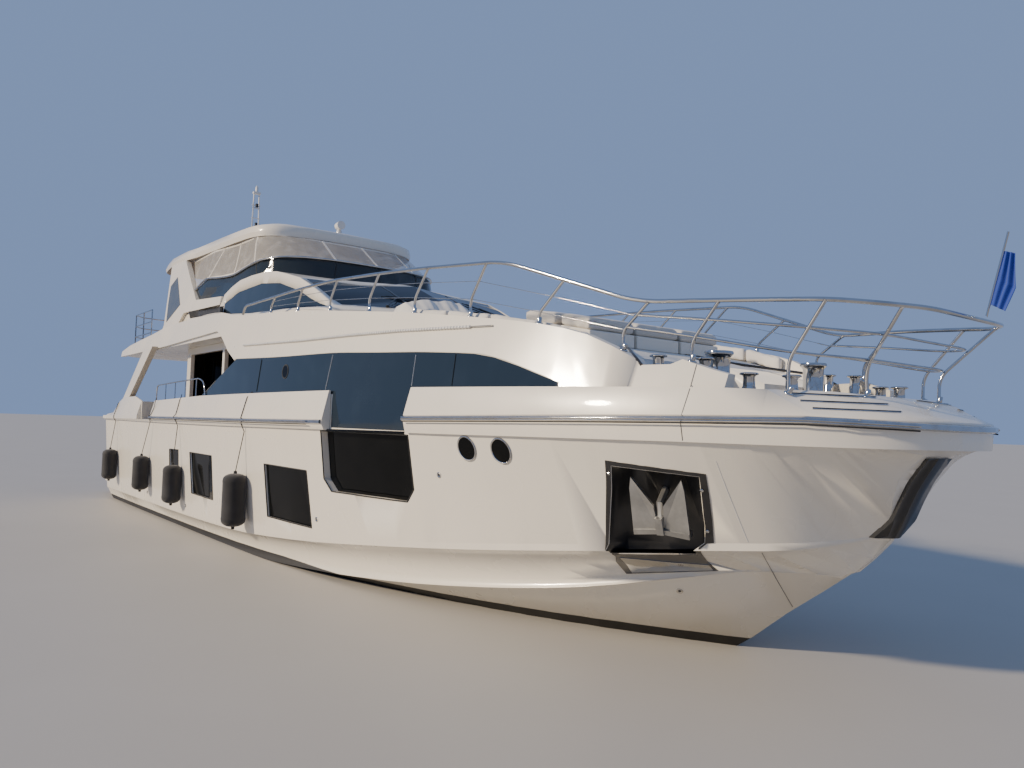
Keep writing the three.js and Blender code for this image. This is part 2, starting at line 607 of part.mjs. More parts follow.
// The covered backrest on the starboard side: y, height at the front, at the ridge and at the back
const BACKREST_ROWS = [[-1640, 4560, 4680, 4650], [-1560, 4660, 4840, 4800], [-1400, 4700, 4905, 4870],
  [-900, 4720, 4950, 4930], [-400, 4720, 4985, 4960], [-270, 4660, 4900, 4860], [-210, 4540, 4700, 4660]];
const pad = loft(SUNPAD_ROWS.map(([aft, half, thick]) => bothSides([
  [aft, half, foredeckZ(aft)], [aft, half, foredeckZ(aft) + 40 + thick * 0.6],
  [aft, half - 70, foredeckZ(aft) + 40 + thick],
])));
const backrest = loft(BACKREST_ROWS.map(([y, front, ridge, back]) => [
  [8340, y, foredeckZ(8340)], [8420, y, front], [8780, y, ridge], [9080, y, back], [9110, y, foredeckZ(9110)],
]));
addNode('foredeck_sunpad', onHouse(pad.add(backrest)), cushionCloth);

function bench(aft0, aft1, y0, y1, height) {
  return loft([aft0, aft1].map(aft => [[aft, y0, foredeckZ(aft)], [aft, y1, foredeckZ(aft)],
    [aft, y1, foredeckZ(aft) + height], [aft, y0, foredeckZ(aft) + height]]));
}
addNode('foredeck_sofa', onHouse(join(bench(4200, 4850, -1400, 1400, 370), bench(4850, 5600, 850, 1450, 370),
  bench(4850, 5600, -1450, -850, 370))), cushionCloth);

// Upper deck with its coamings

const sheerY = z => HALF_BEAM - HOUSE_GLASS_INSET - (z - 3910) * 0.164;
// Coaming: aft, underside, top
const COAMING_ROWS = [[13000.3, 3868, 4826], [13600, 4120, 4885], [14030, 4360, 4945], [14600, 4600, 5030],
  [15600, 4580, 5080], [16600, 4560, 5080], [18700, 4510, 5070], [20400, 4495, 4950], [22900, 4482, 4780],
  [23850, 4481, 4640]];
const SLAB_HALF = 2930;
const DECK_STRUT = [[19500, FLY_UNDER_Z + 60], [20350, FLY_UNDER_Z + 60], [22650, 3120],
  [22650, SOLE_Z + GAP], [21950, SOLE_Z + GAP], [21950, 3120]];
const FLY_STAIR = { aft0: 19350, aft1: 22000, y0: 1380, y1: 2220, steps: 12 };

function buildUpperDeck() {
  const corner = 700;
  const outline = [[FULL_BEAM_AFT + GAP, -SLAB_HALF], [23900 - corner, -SLAB_HALF]];
  for (let i = 1; i <= 4; i += 1) {
    const turn = (Math.PI / 2) * (i / 4);
    outline.push([23900 - corner + corner * Math.sin(turn), -SLAB_HALF + corner - corner * Math.cos(turn)]);
  }
  const mirror = outline.map(([aft, y]) => [aft, -y]).reverse();
  const slab = planPrism([...outline, ...mirror], FLY_UNDER_Z, FLY_SOLE_Z);
  const coaming = loft(denser(COAMING_ROWS, 2).map(([aft, low, high]) => [
    [aft, sheerY(low), low], [aft, sheerY(high), high], [aft, sheerY(high) - 110, high],
    [aft, sheerY(low) - 130, low]]));
  const opening = block(FLY_STAIR.aft0 - 60, 21200, FLY_STAIR.y0 - 40, FLY_STAIR.y1 + 40, 4400, 4900);
  const strut = sidePrism(DECK_STRUT, 2990, 3140);
  return join(slab, coaming, mirrored(coaming), strut, mirrored(strut)).subtract(opening);
}
const upperDeck = buildUpperDeck();
addNode('upper_deck', upperDeck, gelcoat);

// Saloon

const SALOON = { aft: 18700, half: 2430, wall: 100, top: FLY_UNDER_Z - GAP };
const SALOON_WINDOWS = [[13300, 15700], [15850, 18400]];
function buildSaloonSide() {
  const inner = SALOON.half - SALOON.wall;
  let wall = block(FULL_BEAM_AFT + 21, SALOON.aft, inner, SALOON.half, SOLE_Z + GAP, SALOON.top);
  for (const [aft0, aft1] of SALOON_WINDOWS) {
    wall = wall.subtract(block(aft0, aft1, SALOON.half - 200, SALOON.half + 100, 2650, 4300));
  }
  return wall;
}
addPair('saloon_side', buildSaloonSide(), gelcoat);

const DOOR = { half: 2000, top: 4250, leaf: 1000 };
function buildSaloonAft() {
  const edge = SALOON.half - SALOON.wall - GAP;
  const frame = block(18600, SALOON.aft, -edge, edge, SOLE_Z + GAP, SALOON.top)
    .subtract(block(18500, 18800, -DOOR.half, DOOR.half, 2000, DOOR.top));
  const pane = block(18640, 18670, DOOR.leaf, DOOR.half + 10, SOLE_Z + GAP, DOOR.top + 10);
  return join(frame, pane, mirrored(pane));
}
addNode('saloon_aft', buildSaloonAft(), darkGlass);
addPair('saloon_door', block(18540, 18594, 4, DOOR.leaf, SOLE_Z + 0.5, DOOR.top + 60), darkGlass);

function buildFlyStair() {
  const rise = (FLY_SOLE_Z - SOLE_Z) / FLY_STAIR.steps;
  const run = (FLY_STAIR.aft1 - FLY_STAIR.aft0) / FLY_STAIR.steps;
  const outline = [[FLY_STAIR.aft1, SOLE_Z + GAP]];
  for (let i = 0; i < FLY_STAIR.steps - 1; i += 1) {
    const z = SOLE_Z + (i + 1) * rise;
    outline.push([FLY_STAIR.aft1 - i * run, z], [FLY_STAIR.aft1 - (i + 1) * run, z]);
  }
  outline.push([FLY_STAIR.aft0 + run, FLY_SOLE_Z], [FLY_STAIR.aft0, FLY_SOLE_Z],
    [FLY_STAIR.aft0, FLY_SOLE_Z - 260], [FLY_STAIR.aft1 - 300, SOLE_Z + GAP]);
  return sidePrism(outline, FLY_STAIR.y0, FLY_STAIR.y1);
}
addNode('fly_stair', buildFlyStair(), gelcoat);

// Wheelhouse: aft, foot half, sill half and height, shoulder half and height, crown height
const WHEEL_ROWS = [
  [9180, 380, 360, 4725, 200, 4770, 4775],
  [9400, 1180, 1150, 4730, 1000, 4795, 4870],
  [9600, 1620, 1590, 4735, 1440, 4800, 4960],
  [9800, 1990, 1960, 4740, 1810, 4805, 5050],
  [9980, 2330, 2300, 4745, 2150, 4808, 5125],
  [10120, 2450, 2420, 4750, 2290, 4825, 5185],
  [10300, 2490, 2470, 4770, 2305, 4930, 5260],
  [10700, 2570, 2550, 4785, 2320, 5130, 5425],
  [11100, 2630, 2610, 4800, 2335, 5315, 5585],
  [11600, 2680, 2660, 4815, 2355, 5520, 5680],
  [12160, 2700, 2680, 4835, 2380, 5660, 5745],
  [12690, 2700, 2680, 4850, 2400, 5780, 5805],
  [13000, 2700, 2680, 4860, 2410, 5820, 5840],
  [13000.3, 2700, 2680, 4860, 2410, 5820, 5840],
  [13400, 2700, 2680, 4870, 2420, 5855, 5875],
  [14100, 2700, 2685, 4910, 2435, 5870, 5890],
  [14800, 2700, 2690, 4950, 2450, 5845, 5870],
  [15300, 2700, 2690, 4975, 2465, 5750, 5780],
  [15750, 2700, 2690, 5000, 2480, 5620, 5650],
];
const deckUnder = aft => (aft > FULL_BEAM_AFT ? FLY_SOLE_Z + GAP : foredeckZ(aft));

function wheelForm(inset = 0, drop = inset) {
  return loft(WHEEL_ROWS.map(([aft, foot, sill, sillZ, shoulder, shoulderZ, crown]) => bothSides([
    [aft, Math.max(foot - inset, 60), deckUnder(aft)],
    [aft, Math.max(sill - inset, 50), sillZ - drop * 0.3],
    [aft, Math.max(shoulder - inset, 40), shoulderZ - drop],
    [aft, 0, crown - drop],
  ])));
}
const WINDSCREEN = [[9300, 0], [9330, -480], [9510, -930], [9700, -1370], [9900, -1760], [10130, -2130],
  [10330, -2215], [11000, -2240], [11560, -2255], [11440, -1500], [11240, -700], [11180, 0],
  [11240, 700], [11440, 1500], [11560, 2255], [11000, 2240], [10330, 2215], [10130, 2130], [9900, 1760],
  [9700, 1370], [9510, 930], [9330, 480]];
const WHEEL_SIDE_GLASS = [[10170, 4800], [10420, 4870], [10700, 4960], [11380, 5225], [12350, 5485], [13350, 5595],
  [14650, 5545], [15450, 5350], [15250, 5080], [13400, 4930], [10500, 4808]];
const wheelSkin = (outer, inner, cutter) => wheelForm(outer).subtract(wheelForm(inner)).intersect(cutter);
const windscreenPrism = by => planPrism(shrunk(WINDSCREEN, by), 4500, 6000);
const sideGlassPrism = by => sidePrism(shrunk(WHEEL_SIDE_GLASS, by), 2260, 3000);

function buildWheelhouse() {
  const room = wheelForm(110).intersect(block(9950, 13340, -2600, 2600, 4000, 6000));
  const flyWell = block(13450, 16000, -2300, 2300, FLY_SOLE_Z - 10, 6200);
  const glass = wheelSkin(-5, 36, sideGlassPrism(0));
  let body = wheelForm().subtract(room).subtract(flyWell);
  body = body.subtract(wheelSkin(-5, 36, windscreenPrism(0)));
  body = body.subtract(windscreenPrism(90).intersect(block(10000, 12000, -3000, 3000, 4500, 6000)));
  return body.subtract(glass).subtract(mirrored(glass));
}
const wheelhouse = onHouse(buildWheelhouse());
addNode('wheelhouse', wheelhouse, gelcoat);
addNode('windscreen', wheelSkin(6, 36 - GAP, windscreenPrism(3)), darkGlass);
addPair('wheelhouse_glass', wheelSkin(6, 36 - GAP, sideGlassPrism(3)), darkGlass);

// Flybridge sides and hardtop legs

const HARDTOP_SLOPE = 0.018;
const hardtopUnder = aft => HARDTOP_Z - 50 + (aft - 14000) * HARDTOP_SLOPE;
const FLY_BASE = FLY_SOLE_Z + GAP;
const FLY_SIDE = [[15750 + GAP, 5565], [17850, 5700], [19750, 6999], [21150, 6999], [20550, 5250],
  [20850, FLY_BASE], [19600, FLY_BASE], [18750, 5440], [15750 + GAP, 5360]];
const FLY_RECESS = [[15750 + GAP, FLY_BASE], [15750 + GAP, 5400], [19600, 5400], [19600, FLY_BASE]];
const legY = z => 2620 - (z - 5200) * 0.16;
const leaningPlate = (outline, from, thick) =>
  loft([from, from + thick].map(d => outline.map(([aft, z]) => [aft, legY(z) - d, z])));
const legOutline = FLY_SIDE.map(([aft, z]) => [aft, z > 6900 ? hardtopUnder(aft) - GAP : z]);
const flySide = join(leaningPlate(legOutline, 0, 130), leaningPlate(FLY_RECESS, 90, 38));
addPair('fly_side', flySide, gelcoat);

// Flybridge screen: lower aft, half, height; upper aft, half, height
const SCREEN_ROWS = [[18300, 2455, 5600, 18270, 2425, 6015], [17430, 2450, 5500, 17430, 2405, 6200],
  [15670, 2400, 5500, 15670, 2300, 6100], [14900, 2370, 5500, 14900, 2260, 6190],
  [14150, 2310, 5500, 14200, 2200, 6260], [13600, 2090, 5500, 13720, 1990, 6290],
  [13250, 1720, 5500, 13390, 1640, 6300], [13050, 1030, 5500, 13210, 1000, 6310],
  [12990, 0, 5500, 13150, 0, 6310]];
// Where the curtains reach the hardtop: aft, half
const CURTAIN_TOP = [[19640, 2120], [17600, 2120], [16150, 2080], [15500, 2040], [15050, 1930], [14800, 1650],
  [14680, 1300], [14600, 800], [14560, 0]];
const CURTAIN_THICK = 8;

function aroundBow(rows, thick) {
  const path = [...rows, ...rows.slice(0, -1).reverse().map(([a, y, z, ta, ty, tz]) => [a, -y, z, ta, -ty, tz])];
  return loft(path.map(([aft, y, z, topAft, topY, topZ], i) => {
    const [a, b] = [path[Math.max(i - 1, 0)], path[Math.min(i + 1, path.length - 1)]];
    const inward = new THREE.Vector2(-(b[1] - a[1]), b[0] - a[0]).normalize().multiplyScalar(thick);
    return [[aft, y, z], [topAft, topY, topZ], [topAft + inward.x, topY + inward.y, topZ],
      [aft + inward.x, y + inward.y, z]];
  }));
}
const screenWall = aroundBow(SCREEN_ROWS, 25).subtract(wheelForm(-GAP));
const betweenFlySides = solid => solid.subtract(clearOf(flySide)).subtract(clearOf(mirrored(flySide)));
addNode('fly_screen', betweenFlySides(screenWall), darkGlass);

// Curtains of flat panels from the top of the screen up to the hardtop.
// Each panel's head runs where its plane meets the underside, as near as it can to the table.
function flatCurtain() {
  const under = new THREE.Vector3(-HARDTOP_SLOPE, 0, 1).normalize();
  const feet = SCREEN_ROWS.map(row => new THREE.Vector3(row[3], row[4], row[5] + 0.5));
  const wishes = CURTAIN_TOP.map(([aft, y]) => new THREE.Vector3(aft, y, hardtopUnder(aft) - GAP));
  const heads = [wishes[0]];
  const inwards = [];
  for (let i = 0; i + 1 < feet.length; i += 1) {
    const normal = feet[i + 1].clone().sub(feet[i]).cross(heads[i].clone().sub(feet[i])).normalize();
    if (normal.y > 0) normal.negate();
    const run = normal.clone().cross(under).normalize();
    const atCentre = i + 2 === feet.length;
    const reach = atCentre ? -heads[i].y / run.y : wishes[i + 1].clone().sub(heads[i]).dot(run);
    heads.push(heads[i].clone().addScaledVector(run, reach));
    inwards.push(normal);
  }
  const half = feet.map((foot, i) => {
    const before = inwards[Math.max(i - 1, 0)];
    const centre = i === feet.length - 1;
    const after = centre ? before.clone().setY(-before.y) : inwards[i];
    const step = before.clone().add(after).setZ(0);
    step.multiplyScalar(CURTAIN_THICK / step.dot(before));
    return [foot, heads[i], heads[i].clone().add(step), foot.clone().add(step)].map(p => p.toArray());
  });
  return loft([...half, ...half.slice(0, -1).reverse().map(ring => ring.map(([aft, y, z]) => [aft, -y, z]))]);
}
addNode('fly_curtain', flatCurtain(), clearVinyl);

// Hardtop: aft, half, share of the full thickness
const HARDTOP_ROWS = [[14350, 750, 0.7], [14400, 1350, 0.85], [14550, 1800, 0.95], [14850, 2050, 1],
  [15400, 2160, 1], [17000, 2220, 1], [19000, 2260, 0.97], [19750, 2330, 0.95], [21150, 2330, 0.85],
  [21600, 2280, 0.8], [22200, 2200, 0.76], [22750, 2080, 0.7], [23000, 1920, 0.6]];
const hardtop = loft(denser(HARDTOP_ROWS, 2).map(([aft, half, share]) => {
  const under = hardtopUnder(aft);
  return bothSides([[aft, half - 30, under], [aft, half, under + 110 * share], [aft, half - 50, under + 270 * share],
    [aft, half - 300, under + 340 * share], [aft, 0, under + 365 * share]]);
}));
const SEARCHLIGHT = { aft: 14900, padZ: 7360 };
const searchlightPad = drum(SEARCHLIGHT.aft, 0, [[130, 7250], [120, SEARCHLIGHT.padZ]]);
addNode('hardtop', hardtop.add(searchlightPad), gelcoat);
const onHardtop = solid => solid.subtract(hardtop.translate([0, 0, GAP]));

function buildLightMast() {
  const aft = 20900;
  const parts = [block(aft - 160, aft + 160, -200, 200, 7200, 7480)];
  for (const y of [-130, 130]) parts.push(rod([[aft, y, 7450], [aft, y * 0.6, 9700]], 22, 6));
  for (const z of [7900, 8400, 8900, 9300]) parts.push(rod([[aft, -135, z], [aft, 135, z]], 14, 6));
  parts.push(block(aft - 60, aft + 60, -110, 110, 9660, 9720));
  parts.push(drum(aft, 0, [[45, 9710], [45, 9870], [20, 9920]], 10));
  return onHardtop(join(...parts));
}
addNode('light_mast', buildLightMast(), lampWhite);

const lampStem = [[70, 0.3], [70, 80], [45, 110], [45, 150]].map(([r, z]) => [r, SEARCHLIGHT.padZ + z]);
const lampHead = [[60, -120], [95, -80], [110, 120]];
const lampCentre = [SEARCHLIGHT.aft, 0, SEARCHLIGHT.padZ + 215];
addNode('searchlight', drum(SEARCHLIGHT.aft, 0, lampStem)
  .add(spindle(lampCentre, new THREE.Vector3(1, 0, 0), lampHead)), lampWhite);

// Flybridge furniture

// Side outlines, with heights over the deck
const raised = (outline, base, y0, y1) => sidePrism(outline.map(([aft, z]) => [aft, base + GAP + z]), y0, y1);
const flyPiece = (outline, y0, y1) => raised(outline, FLY_SOLE_Z, y0, y1);
const slab = (aft0, aft1, height) => [[aft0, 0], [aft0, height], [aft1, height], [aft1, 0]];
const HELM = [[13560, 0], [13560, 900], [13900, 980], [14250, 780], [14300, 0]];
const HELM_SEAT = [[15050, 0], [15050, 520], [15600, 520], [15700, 1050], [15800, 1050], [15800, 0]];
const LOUNGER = [[21700, 0], [21700, 620], [21850, 620], [22050, 330], [23250, 330], [23250, 0]];
addNode('fly_helm', flyPiece(HELM, -1500, 300), gelcoat);
addNode('fly_helm_seat', flyPiece(HELM_SEAT, -1400, 200), cushionCloth);
addNode('fly_sofa', join(flyPiece(slab(16300, 18600, 450), -2380, -1700),
  flyPiece(slab(16300, 18600, 850), -2380, -2200), flyPiece(slab(16300, 16900, 450), -1750, -700)), cushionCloth);
addNode('fly_bar', flyPiece(slab(16300, 18300, 950), 1500, 2250), gelcoat);
addNode('fly_lounger', flyPiece(LOUNGER, -1500, 1500), cushionCloth);

function railing(path, posts, radius) {
  const rails = path.map(line => rod(line, radius, 6));
  return join(...rails, ...posts.map(post => rod(post, radius, 6)));
}
function buildFlyRail() {
  const line = z => [[21300, 2760, z], [23200, 2760, z], [23600, 2500, z], [23780, 2000, z], [23780, -2000, z],
    [23600, -2500, z], [23200, -2760, z], [21300, -2760, z]];
  const feet = [[21300, 2760], [22250, 2760], [23200, 2760], [23780, 1400], [23780, 0]];
  const posts = [...feet, ...feet.slice(0, 4).map(([aft, y]) => [aft, -y])]
    .map(([aft, y]) => [[aft, y, FLY_SOLE_Z + GAP], [aft, y, 5750]]);
  return railing([line(5750), line(5400), line(5080)], posts, 19);
}
addNode('fly_rail', buildFlyRail(), steel);

// Cockpit furniture

const solePiece = (outline, y0, y1) => raised(outline, SOLE_Z, y0, y1);
const COCKPIT_SOFA = [[23450, 0], [23450, 430], [24050, 430], [24100, 850], [24300, 850], [24300, 0]];
const TABLE_TOP = [[22300, 700], [22300, 750], [23100, 750], [23100, 700]];
addNode('cockpit_sofa', solePiece(COCKPIT_SOFA, -1600, 1600), cushionCloth);
addNode('cockpit_table', solePiece(TABLE_TOP, -850, 850).add(solePiece(slab(22600, 22800, 710), -150, 150)), teak);

// Bow rail: aft, half, height of the top tube
const BOW_RAIL_TOP = [[13250, 2890, 4800], [12990, 2940, 5010], [10210, 2920, 5050], [8970, 2870, 5055],
  [7420, 2780, 4990], [6450, 2700, 4940], [5380, 2600, 4865], [4650, 2520, 4815], [2700, 2080, 4140],
  [1600, 1740, 4120], [700, 1520, 4090], [350, 1300, 4050], [50, 850, 3990], [-100, 450, 3935]];
// Feet of the stanchions: aft, half, height, and how far ahead their tops are
const STANCHIONS = [[11660, 2880, 4790, 300], [10420, 2850, 4690, 330], [9160, 2800, 4580, 360],
  [7890, 2720, 4465, 400], [6650, 2620, 4330, 430], [5420, 2470, 4170, 450], [4180, 2280, 3940, 480],
  [2970, 2010, 3690, 400], [2140, 1800, 3465, 350], [1180, 1450, 3170, 450], [700, 800, 3130, 500]];
const FOOT_DEPTH = 30;
const PULPIT_FIRST = 7;
const BEND_SHARE = 0.33;
const topRow = [...BOW_RAIL_TOP].reverse();
const railPoint = aft => [aft, along(topRow, aft, 1), along(topRow, aft, 2)];

function stanchionPoint([aft, y, z, ahead], share) {
  const head = railPoint(aft - ahead);
  const bend = [aft, y + 10, z + (head[2] - z) * BEND_SHARE];
  const t = (share - BEND_SHARE) / (1 - BEND_SHARE);
  return bend.map((v, i) => v + (head[i] - v) * t);
}
const acrossBow = half => [...half, ...half.map(([aft, y, z]) => [aft, -y, z]).reverse()];
function buildBowRail() {
  const parts = [rod(acrossBow(BOW_RAIL_TOP), 25, 8)];
  for (const share of [0.42, 0.7]) {
    parts.push(rod(acrossBow(STANCHIONS.slice(PULPIT_FIRST).map(row => stanchionPoint(row, share))), 19, 6));
  }
  for (const row of STANCHIONS) {
    const [aft, y, z] = row;
    const post = [[aft, y, z - FOOT_DEPTH], stanchionPoint(row, BEND_SHARE), stanchionPoint(row, 1)];
    for (const side of [1, -1]) parts.push(rod(post.map(([a, b, c]) => [a, side * b, c]), 19, 6));
  }
  return join(...parts);
}
const bowRailSeat = join(upperHouse, bowBulwark, upperDeck).translate([0, 0, GAP]);
const bowRail = buildBowRail().subtract(bowRailSeat);
addNode('bow_rail', bowRail, steel);

// Jackstaff and plain flag
const STAFF = [[-112, 0, 3940], [-315, 0, 4780]];
addNode('jackstaff', rod(STAFF, 12, 8).subtract(bowRail.translate([0, 0, GAP])), steel);
const FLAG = [[-268, 4600], [-385, 4565], [-392, 4200], [-346, 3985], [-200, 3975], [-140, 4060]];
addNode('flag', sidePrism(FLAG, -6, 6)
  .subtract(rod(STAFF, 12 + GAP, 8)), flagCloth);

// Anchors in their pockets, in axes that lie along the hull side:
// u aft, v up the flare and n outwards, from the foot of the crown
const ANCHOR = {
  at: [2606, 1650, 1600], u: [0.94, 0.342, 0], v: [-0.146, 0.4, 0.905], n: [-0.31, 0.85, -0.425],
};
const anchorPoint = ([u, v, n]) =>
  ANCHOR.at.map((at, i) => at + u * ANCHOR.u[i] + v * ANCHOR.v[i] + n * ANCHOR.n[i]);
const anchorPlate = (outline, thick) =>
  loft([0, thick].map(d => outline.map(([u, v, n]) => anchorPoint([u, v, n + d]))));
const FLUKE = [[35, 60, 70], [60, 330, 60], [296, 650, 20], [322, 520, 40], [335, -25, 90]];
const FLUKE_FOOT = [[35, -10, 20], [35, 50, 20], [330, 20, 20], [330, -45, 20]];
const CROWN = [[-42, -10, 30], [42, -10, 30], [42, 200, 30], [-42, 200, 30]];
const SHANK = [[0, 100, 70], [0, 330, 20], [0, 430, -330]];

function buildAnchor() {
  const flip = outline => outline.map(([u, v, n]) => [-u, v, n]);
  return join(anchorPlate(CROWN, 120), anchorPlate(FLUKE, 30), anchorPlate(flip(FLUKE), 30),
    anchorPlate(FLUKE_FOOT, 110), anchorPlate(flip(FLUKE_FOOT), 110), rod(SHANK.map(anchorPoint), 45, 8));
}
addPair('anchor', buildAnchor().subtract(hullForm(-POCKET_DEPTH + GAP)).simplify(SLIVER), galvanised);

// Propellers on their shafts, and rudders

const shaftDirection = new THREE.Vector3(SHAFT.aft0 - SHAFT.aft1, 0, SHAFT.z0 - SHAFT.z1).normalize();
function buildPropeller() {
  const { y } = SHAFT;
  const hubAft = SHAFT.aft1 - 250;
  const axis = new THREE.Vector3(-shaftDirection.x, 0, shaftDirection.z).normalize();
  const centre = new THREE.Vector3(hubAft, y, shaftZ(hubAft));
  const parts = [rod([[SHAFT.aft0, y, shaftZ(SHAFT.aft0)], [SHAFT.aft1, y, shaftZ(SHAFT.aft1)]], SHAFT.radius, 12),
    rod([[hubAft - 130, y, shaftZ(hubAft - 130)], [hubAft + 130, y, shaftZ(hubAft + 130)]], 100, 12)];
  const up = new THREE.Vector3(0, 0, 1).addScaledVector(axis, -axis.z).normalize();
  const side = new THREE.Vector3().crossVectors(axis, up);
  for (let k = 0; k < 5; k += 1) {
    const turn = (2 * Math.PI * k) / 5;
    const radial = up.clone().multiplyScalar(Math.cos(turn)).addScaledVector(side, Math.sin(turn));
    const tangent = new THREE.Vector3().crossVectors(axis, radial);
    parts.push(loft([[70, 150, 0.95], [260, 300, 0.6], [430, 180, 0.4]].map(([r, chord, pitch]) => {
      const chordWay = tangent.clone().multiplyScalar(Math.cos(pitch)).addScaledVector(axis, Math.sin(pitch));
      const thin = new THREE.Vector3().crossVectors(chordWay, radial).multiplyScalar(11);
      const middle = centre.clone().addScaledVector(radial, r);
      const at = (c, t) => middle.clone().addScaledVector(chordWay, c).addScaledVector(thin, t).toArray();
      return [at(-chord / 2, 0), at(0, -1), at(chord / 2, 0), at(0, 1)];
    })));
  }
  return join(...parts);
}
// The slivers where the blades meet the hub are taken out
addPair('propeller', buildPropeller().simplify(SLIVER), bronze);

const rudderBlade = [[23480, -735], [24150, -735], [24200, RUDDER.bottom], [23620, RUDDER.bottom]];
addPair('rudder', join(sidePrism(rudderBlade, RUDDER.y - 30, RUDDER.y + 30),
  drum(RUDDER.aft, RUDDER.y, [[RUDDER.stock, -780], [RUDDER.stock, RUDDER.top]], 16)), bronze);

// Stern pieces

function buildPlatform() {
  const outline = [[TRANSOM_AFT + SLIDE_GAP, -2750], [26400, -2750], [26640, -2640], [PLATFORM_AFT, -2350],
    [PLATFORM_AFT, 2350], [26640, 2640], [26400, 2750], [TRANSOM_AFT + SLIDE_GAP, 2750]];
  let body = planPrism(outline, 420, 620);
  for (const side of [1, -1]) body = body.subtract(block(24400, 24560.5, side * 1639.5, side * 1740.5, 0, 900));
  return body;
}
addNode('swim_platform', buildPlatform(), teak);
const garageLeaf = block(24440, TRANSOM_AFT, -GARAGE.half + SLIDE_GAP, GARAGE.half - SLIDE_GAP,
  GARAGE.z0 + SLIDE_GAP, GARAGE.z1 - 20);
addNode('garage_door', garageLeaf.add(garagePin(GARAGE_HINGE.pin, GARAGE_HINGE.reach, 12)), gelcoat);

// Side gates on a pin near their inner aft corner; the starboard one stands open
const GATE_LEAF = { ahead: 1368, behind: 14, z0: GATE.sill + SLIDE_GAP, z1: 3050 };
const gatePin = side => drum(GATE_HINGE.aft, side * GATE_HINGE.y,
  [[GATE_HINGE.pin, GATE.sill - GATE_HINGE.depth], [GATE_HINGE.pin, GATE_LEAF.z0 + 20]]);
function gateLeaf(open) {
  const { ahead, behind, z0, z1 } = GATE_LEAF;
  const [side, near, far] = [open ? -1 : 1, -behind, GATE.thick - behind];
  const corner = (a, y) =>
    (open ? [GATE_HINGE.aft - y, -(GATE_HINGE.y + a)] : [GATE_HINGE.aft + a, GATE_HINGE.y + y]);
  const leaf = [corner(-ahead, near), corner(behind, near), corner(behind, far), corner(-ahead, far)];
  return planPrism(leaf, z0, z1).add(gatePin(side));
}
addNode('gate_port', gateLeaf(false), gelcoat);
addNode('gate_starboard', gateLeaf(true), greyPaint);

export default group;
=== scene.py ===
# %% [markdown]
# # A flybridge motor yacht, dressed around its CAD frame
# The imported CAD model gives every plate, rail and joint at its real size. This file gives the finishes, the
# soft goods and the small trim. Everything is in metres: +X to the bow, +Y to port, +Z up, and z = 0 is the
# waterline.

# %% Load the frame
import json
import math

import bmesh
import bpy
import numpy as np
from mathutils import Matrix, Vector
from mathutils.bvhtree import BVHTree
from mathutils.geometry import delaunay_2d_cdt


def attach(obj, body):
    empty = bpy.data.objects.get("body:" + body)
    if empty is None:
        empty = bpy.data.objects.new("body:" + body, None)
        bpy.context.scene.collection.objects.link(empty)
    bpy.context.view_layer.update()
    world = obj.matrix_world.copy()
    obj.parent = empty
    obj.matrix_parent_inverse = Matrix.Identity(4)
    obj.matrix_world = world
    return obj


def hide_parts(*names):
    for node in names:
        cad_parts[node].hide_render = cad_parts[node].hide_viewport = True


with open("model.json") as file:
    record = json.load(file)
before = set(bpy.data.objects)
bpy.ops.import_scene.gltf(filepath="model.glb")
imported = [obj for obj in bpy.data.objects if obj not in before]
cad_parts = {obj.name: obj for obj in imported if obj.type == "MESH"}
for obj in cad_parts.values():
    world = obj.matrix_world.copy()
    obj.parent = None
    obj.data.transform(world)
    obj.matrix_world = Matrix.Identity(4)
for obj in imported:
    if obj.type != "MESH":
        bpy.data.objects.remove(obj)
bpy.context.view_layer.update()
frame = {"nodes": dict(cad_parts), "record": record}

# %% [markdown]
# ## Camera
# The camera stands off the starboard bow, 2.7 m above the waterline, and looks slightly up. A wide lens
# stretches the bow, so the lens matters as much as the place. Yaw, pitch and roll turn a level camera into
# this one.

# %% Place the camera
Z_AXIS = Vector((0, 0, 1))
# metres, then degrees
EYE = Vector((16.88, -8.65, 2.71))
YAW, PITCH, ROLL = (math.radians(angle) for angle in (37.88, 2.95, 1.78))
LENS_MM = 28.03
SENSOR_MM = 36.0
FARTHEST_SEEN = 2000

forward = Vector((-math.cos(YAW) * math.cos(PITCH), math.sin(YAW) * math.cos(PITCH), math.sin(PITCH)))
level_right = forward.cross(Z_AXIS).normalized()
level_up = level_right.cross(forward)
right = level_right * math.cos(ROLL) + level_up * math.sin(ROLL)
upward = level_up * math.cos(ROLL) - level_right * math.sin(ROLL)

camera = bpy.data.objects.new("camera", bpy.data.cameras.new("camera"))
bpy.context.scene.collection.objects.link(camera)
camera.matrix_world = Matrix.Translation(EYE) @ Matrix((right, upward, -forward)).transposed().to_4x4()
camera.data.lens = LENS_MM
camera.data.sensor_width = SENSOR_MM
camera.data.clip_end = FARTHEST_SEEN
bpy.context.scene.camera = camera
print("camera at", tuple(EYE))

# %% [markdown]
# ## Shader maths as plain expressions
# A pattern such as a plank joint is a sum on the surface's coordinates. Node by node that is slow to read,
# so one small class wraps a socket and lets + - * and / build the Math nodes. All other nodes come from
# `Finish.node`.

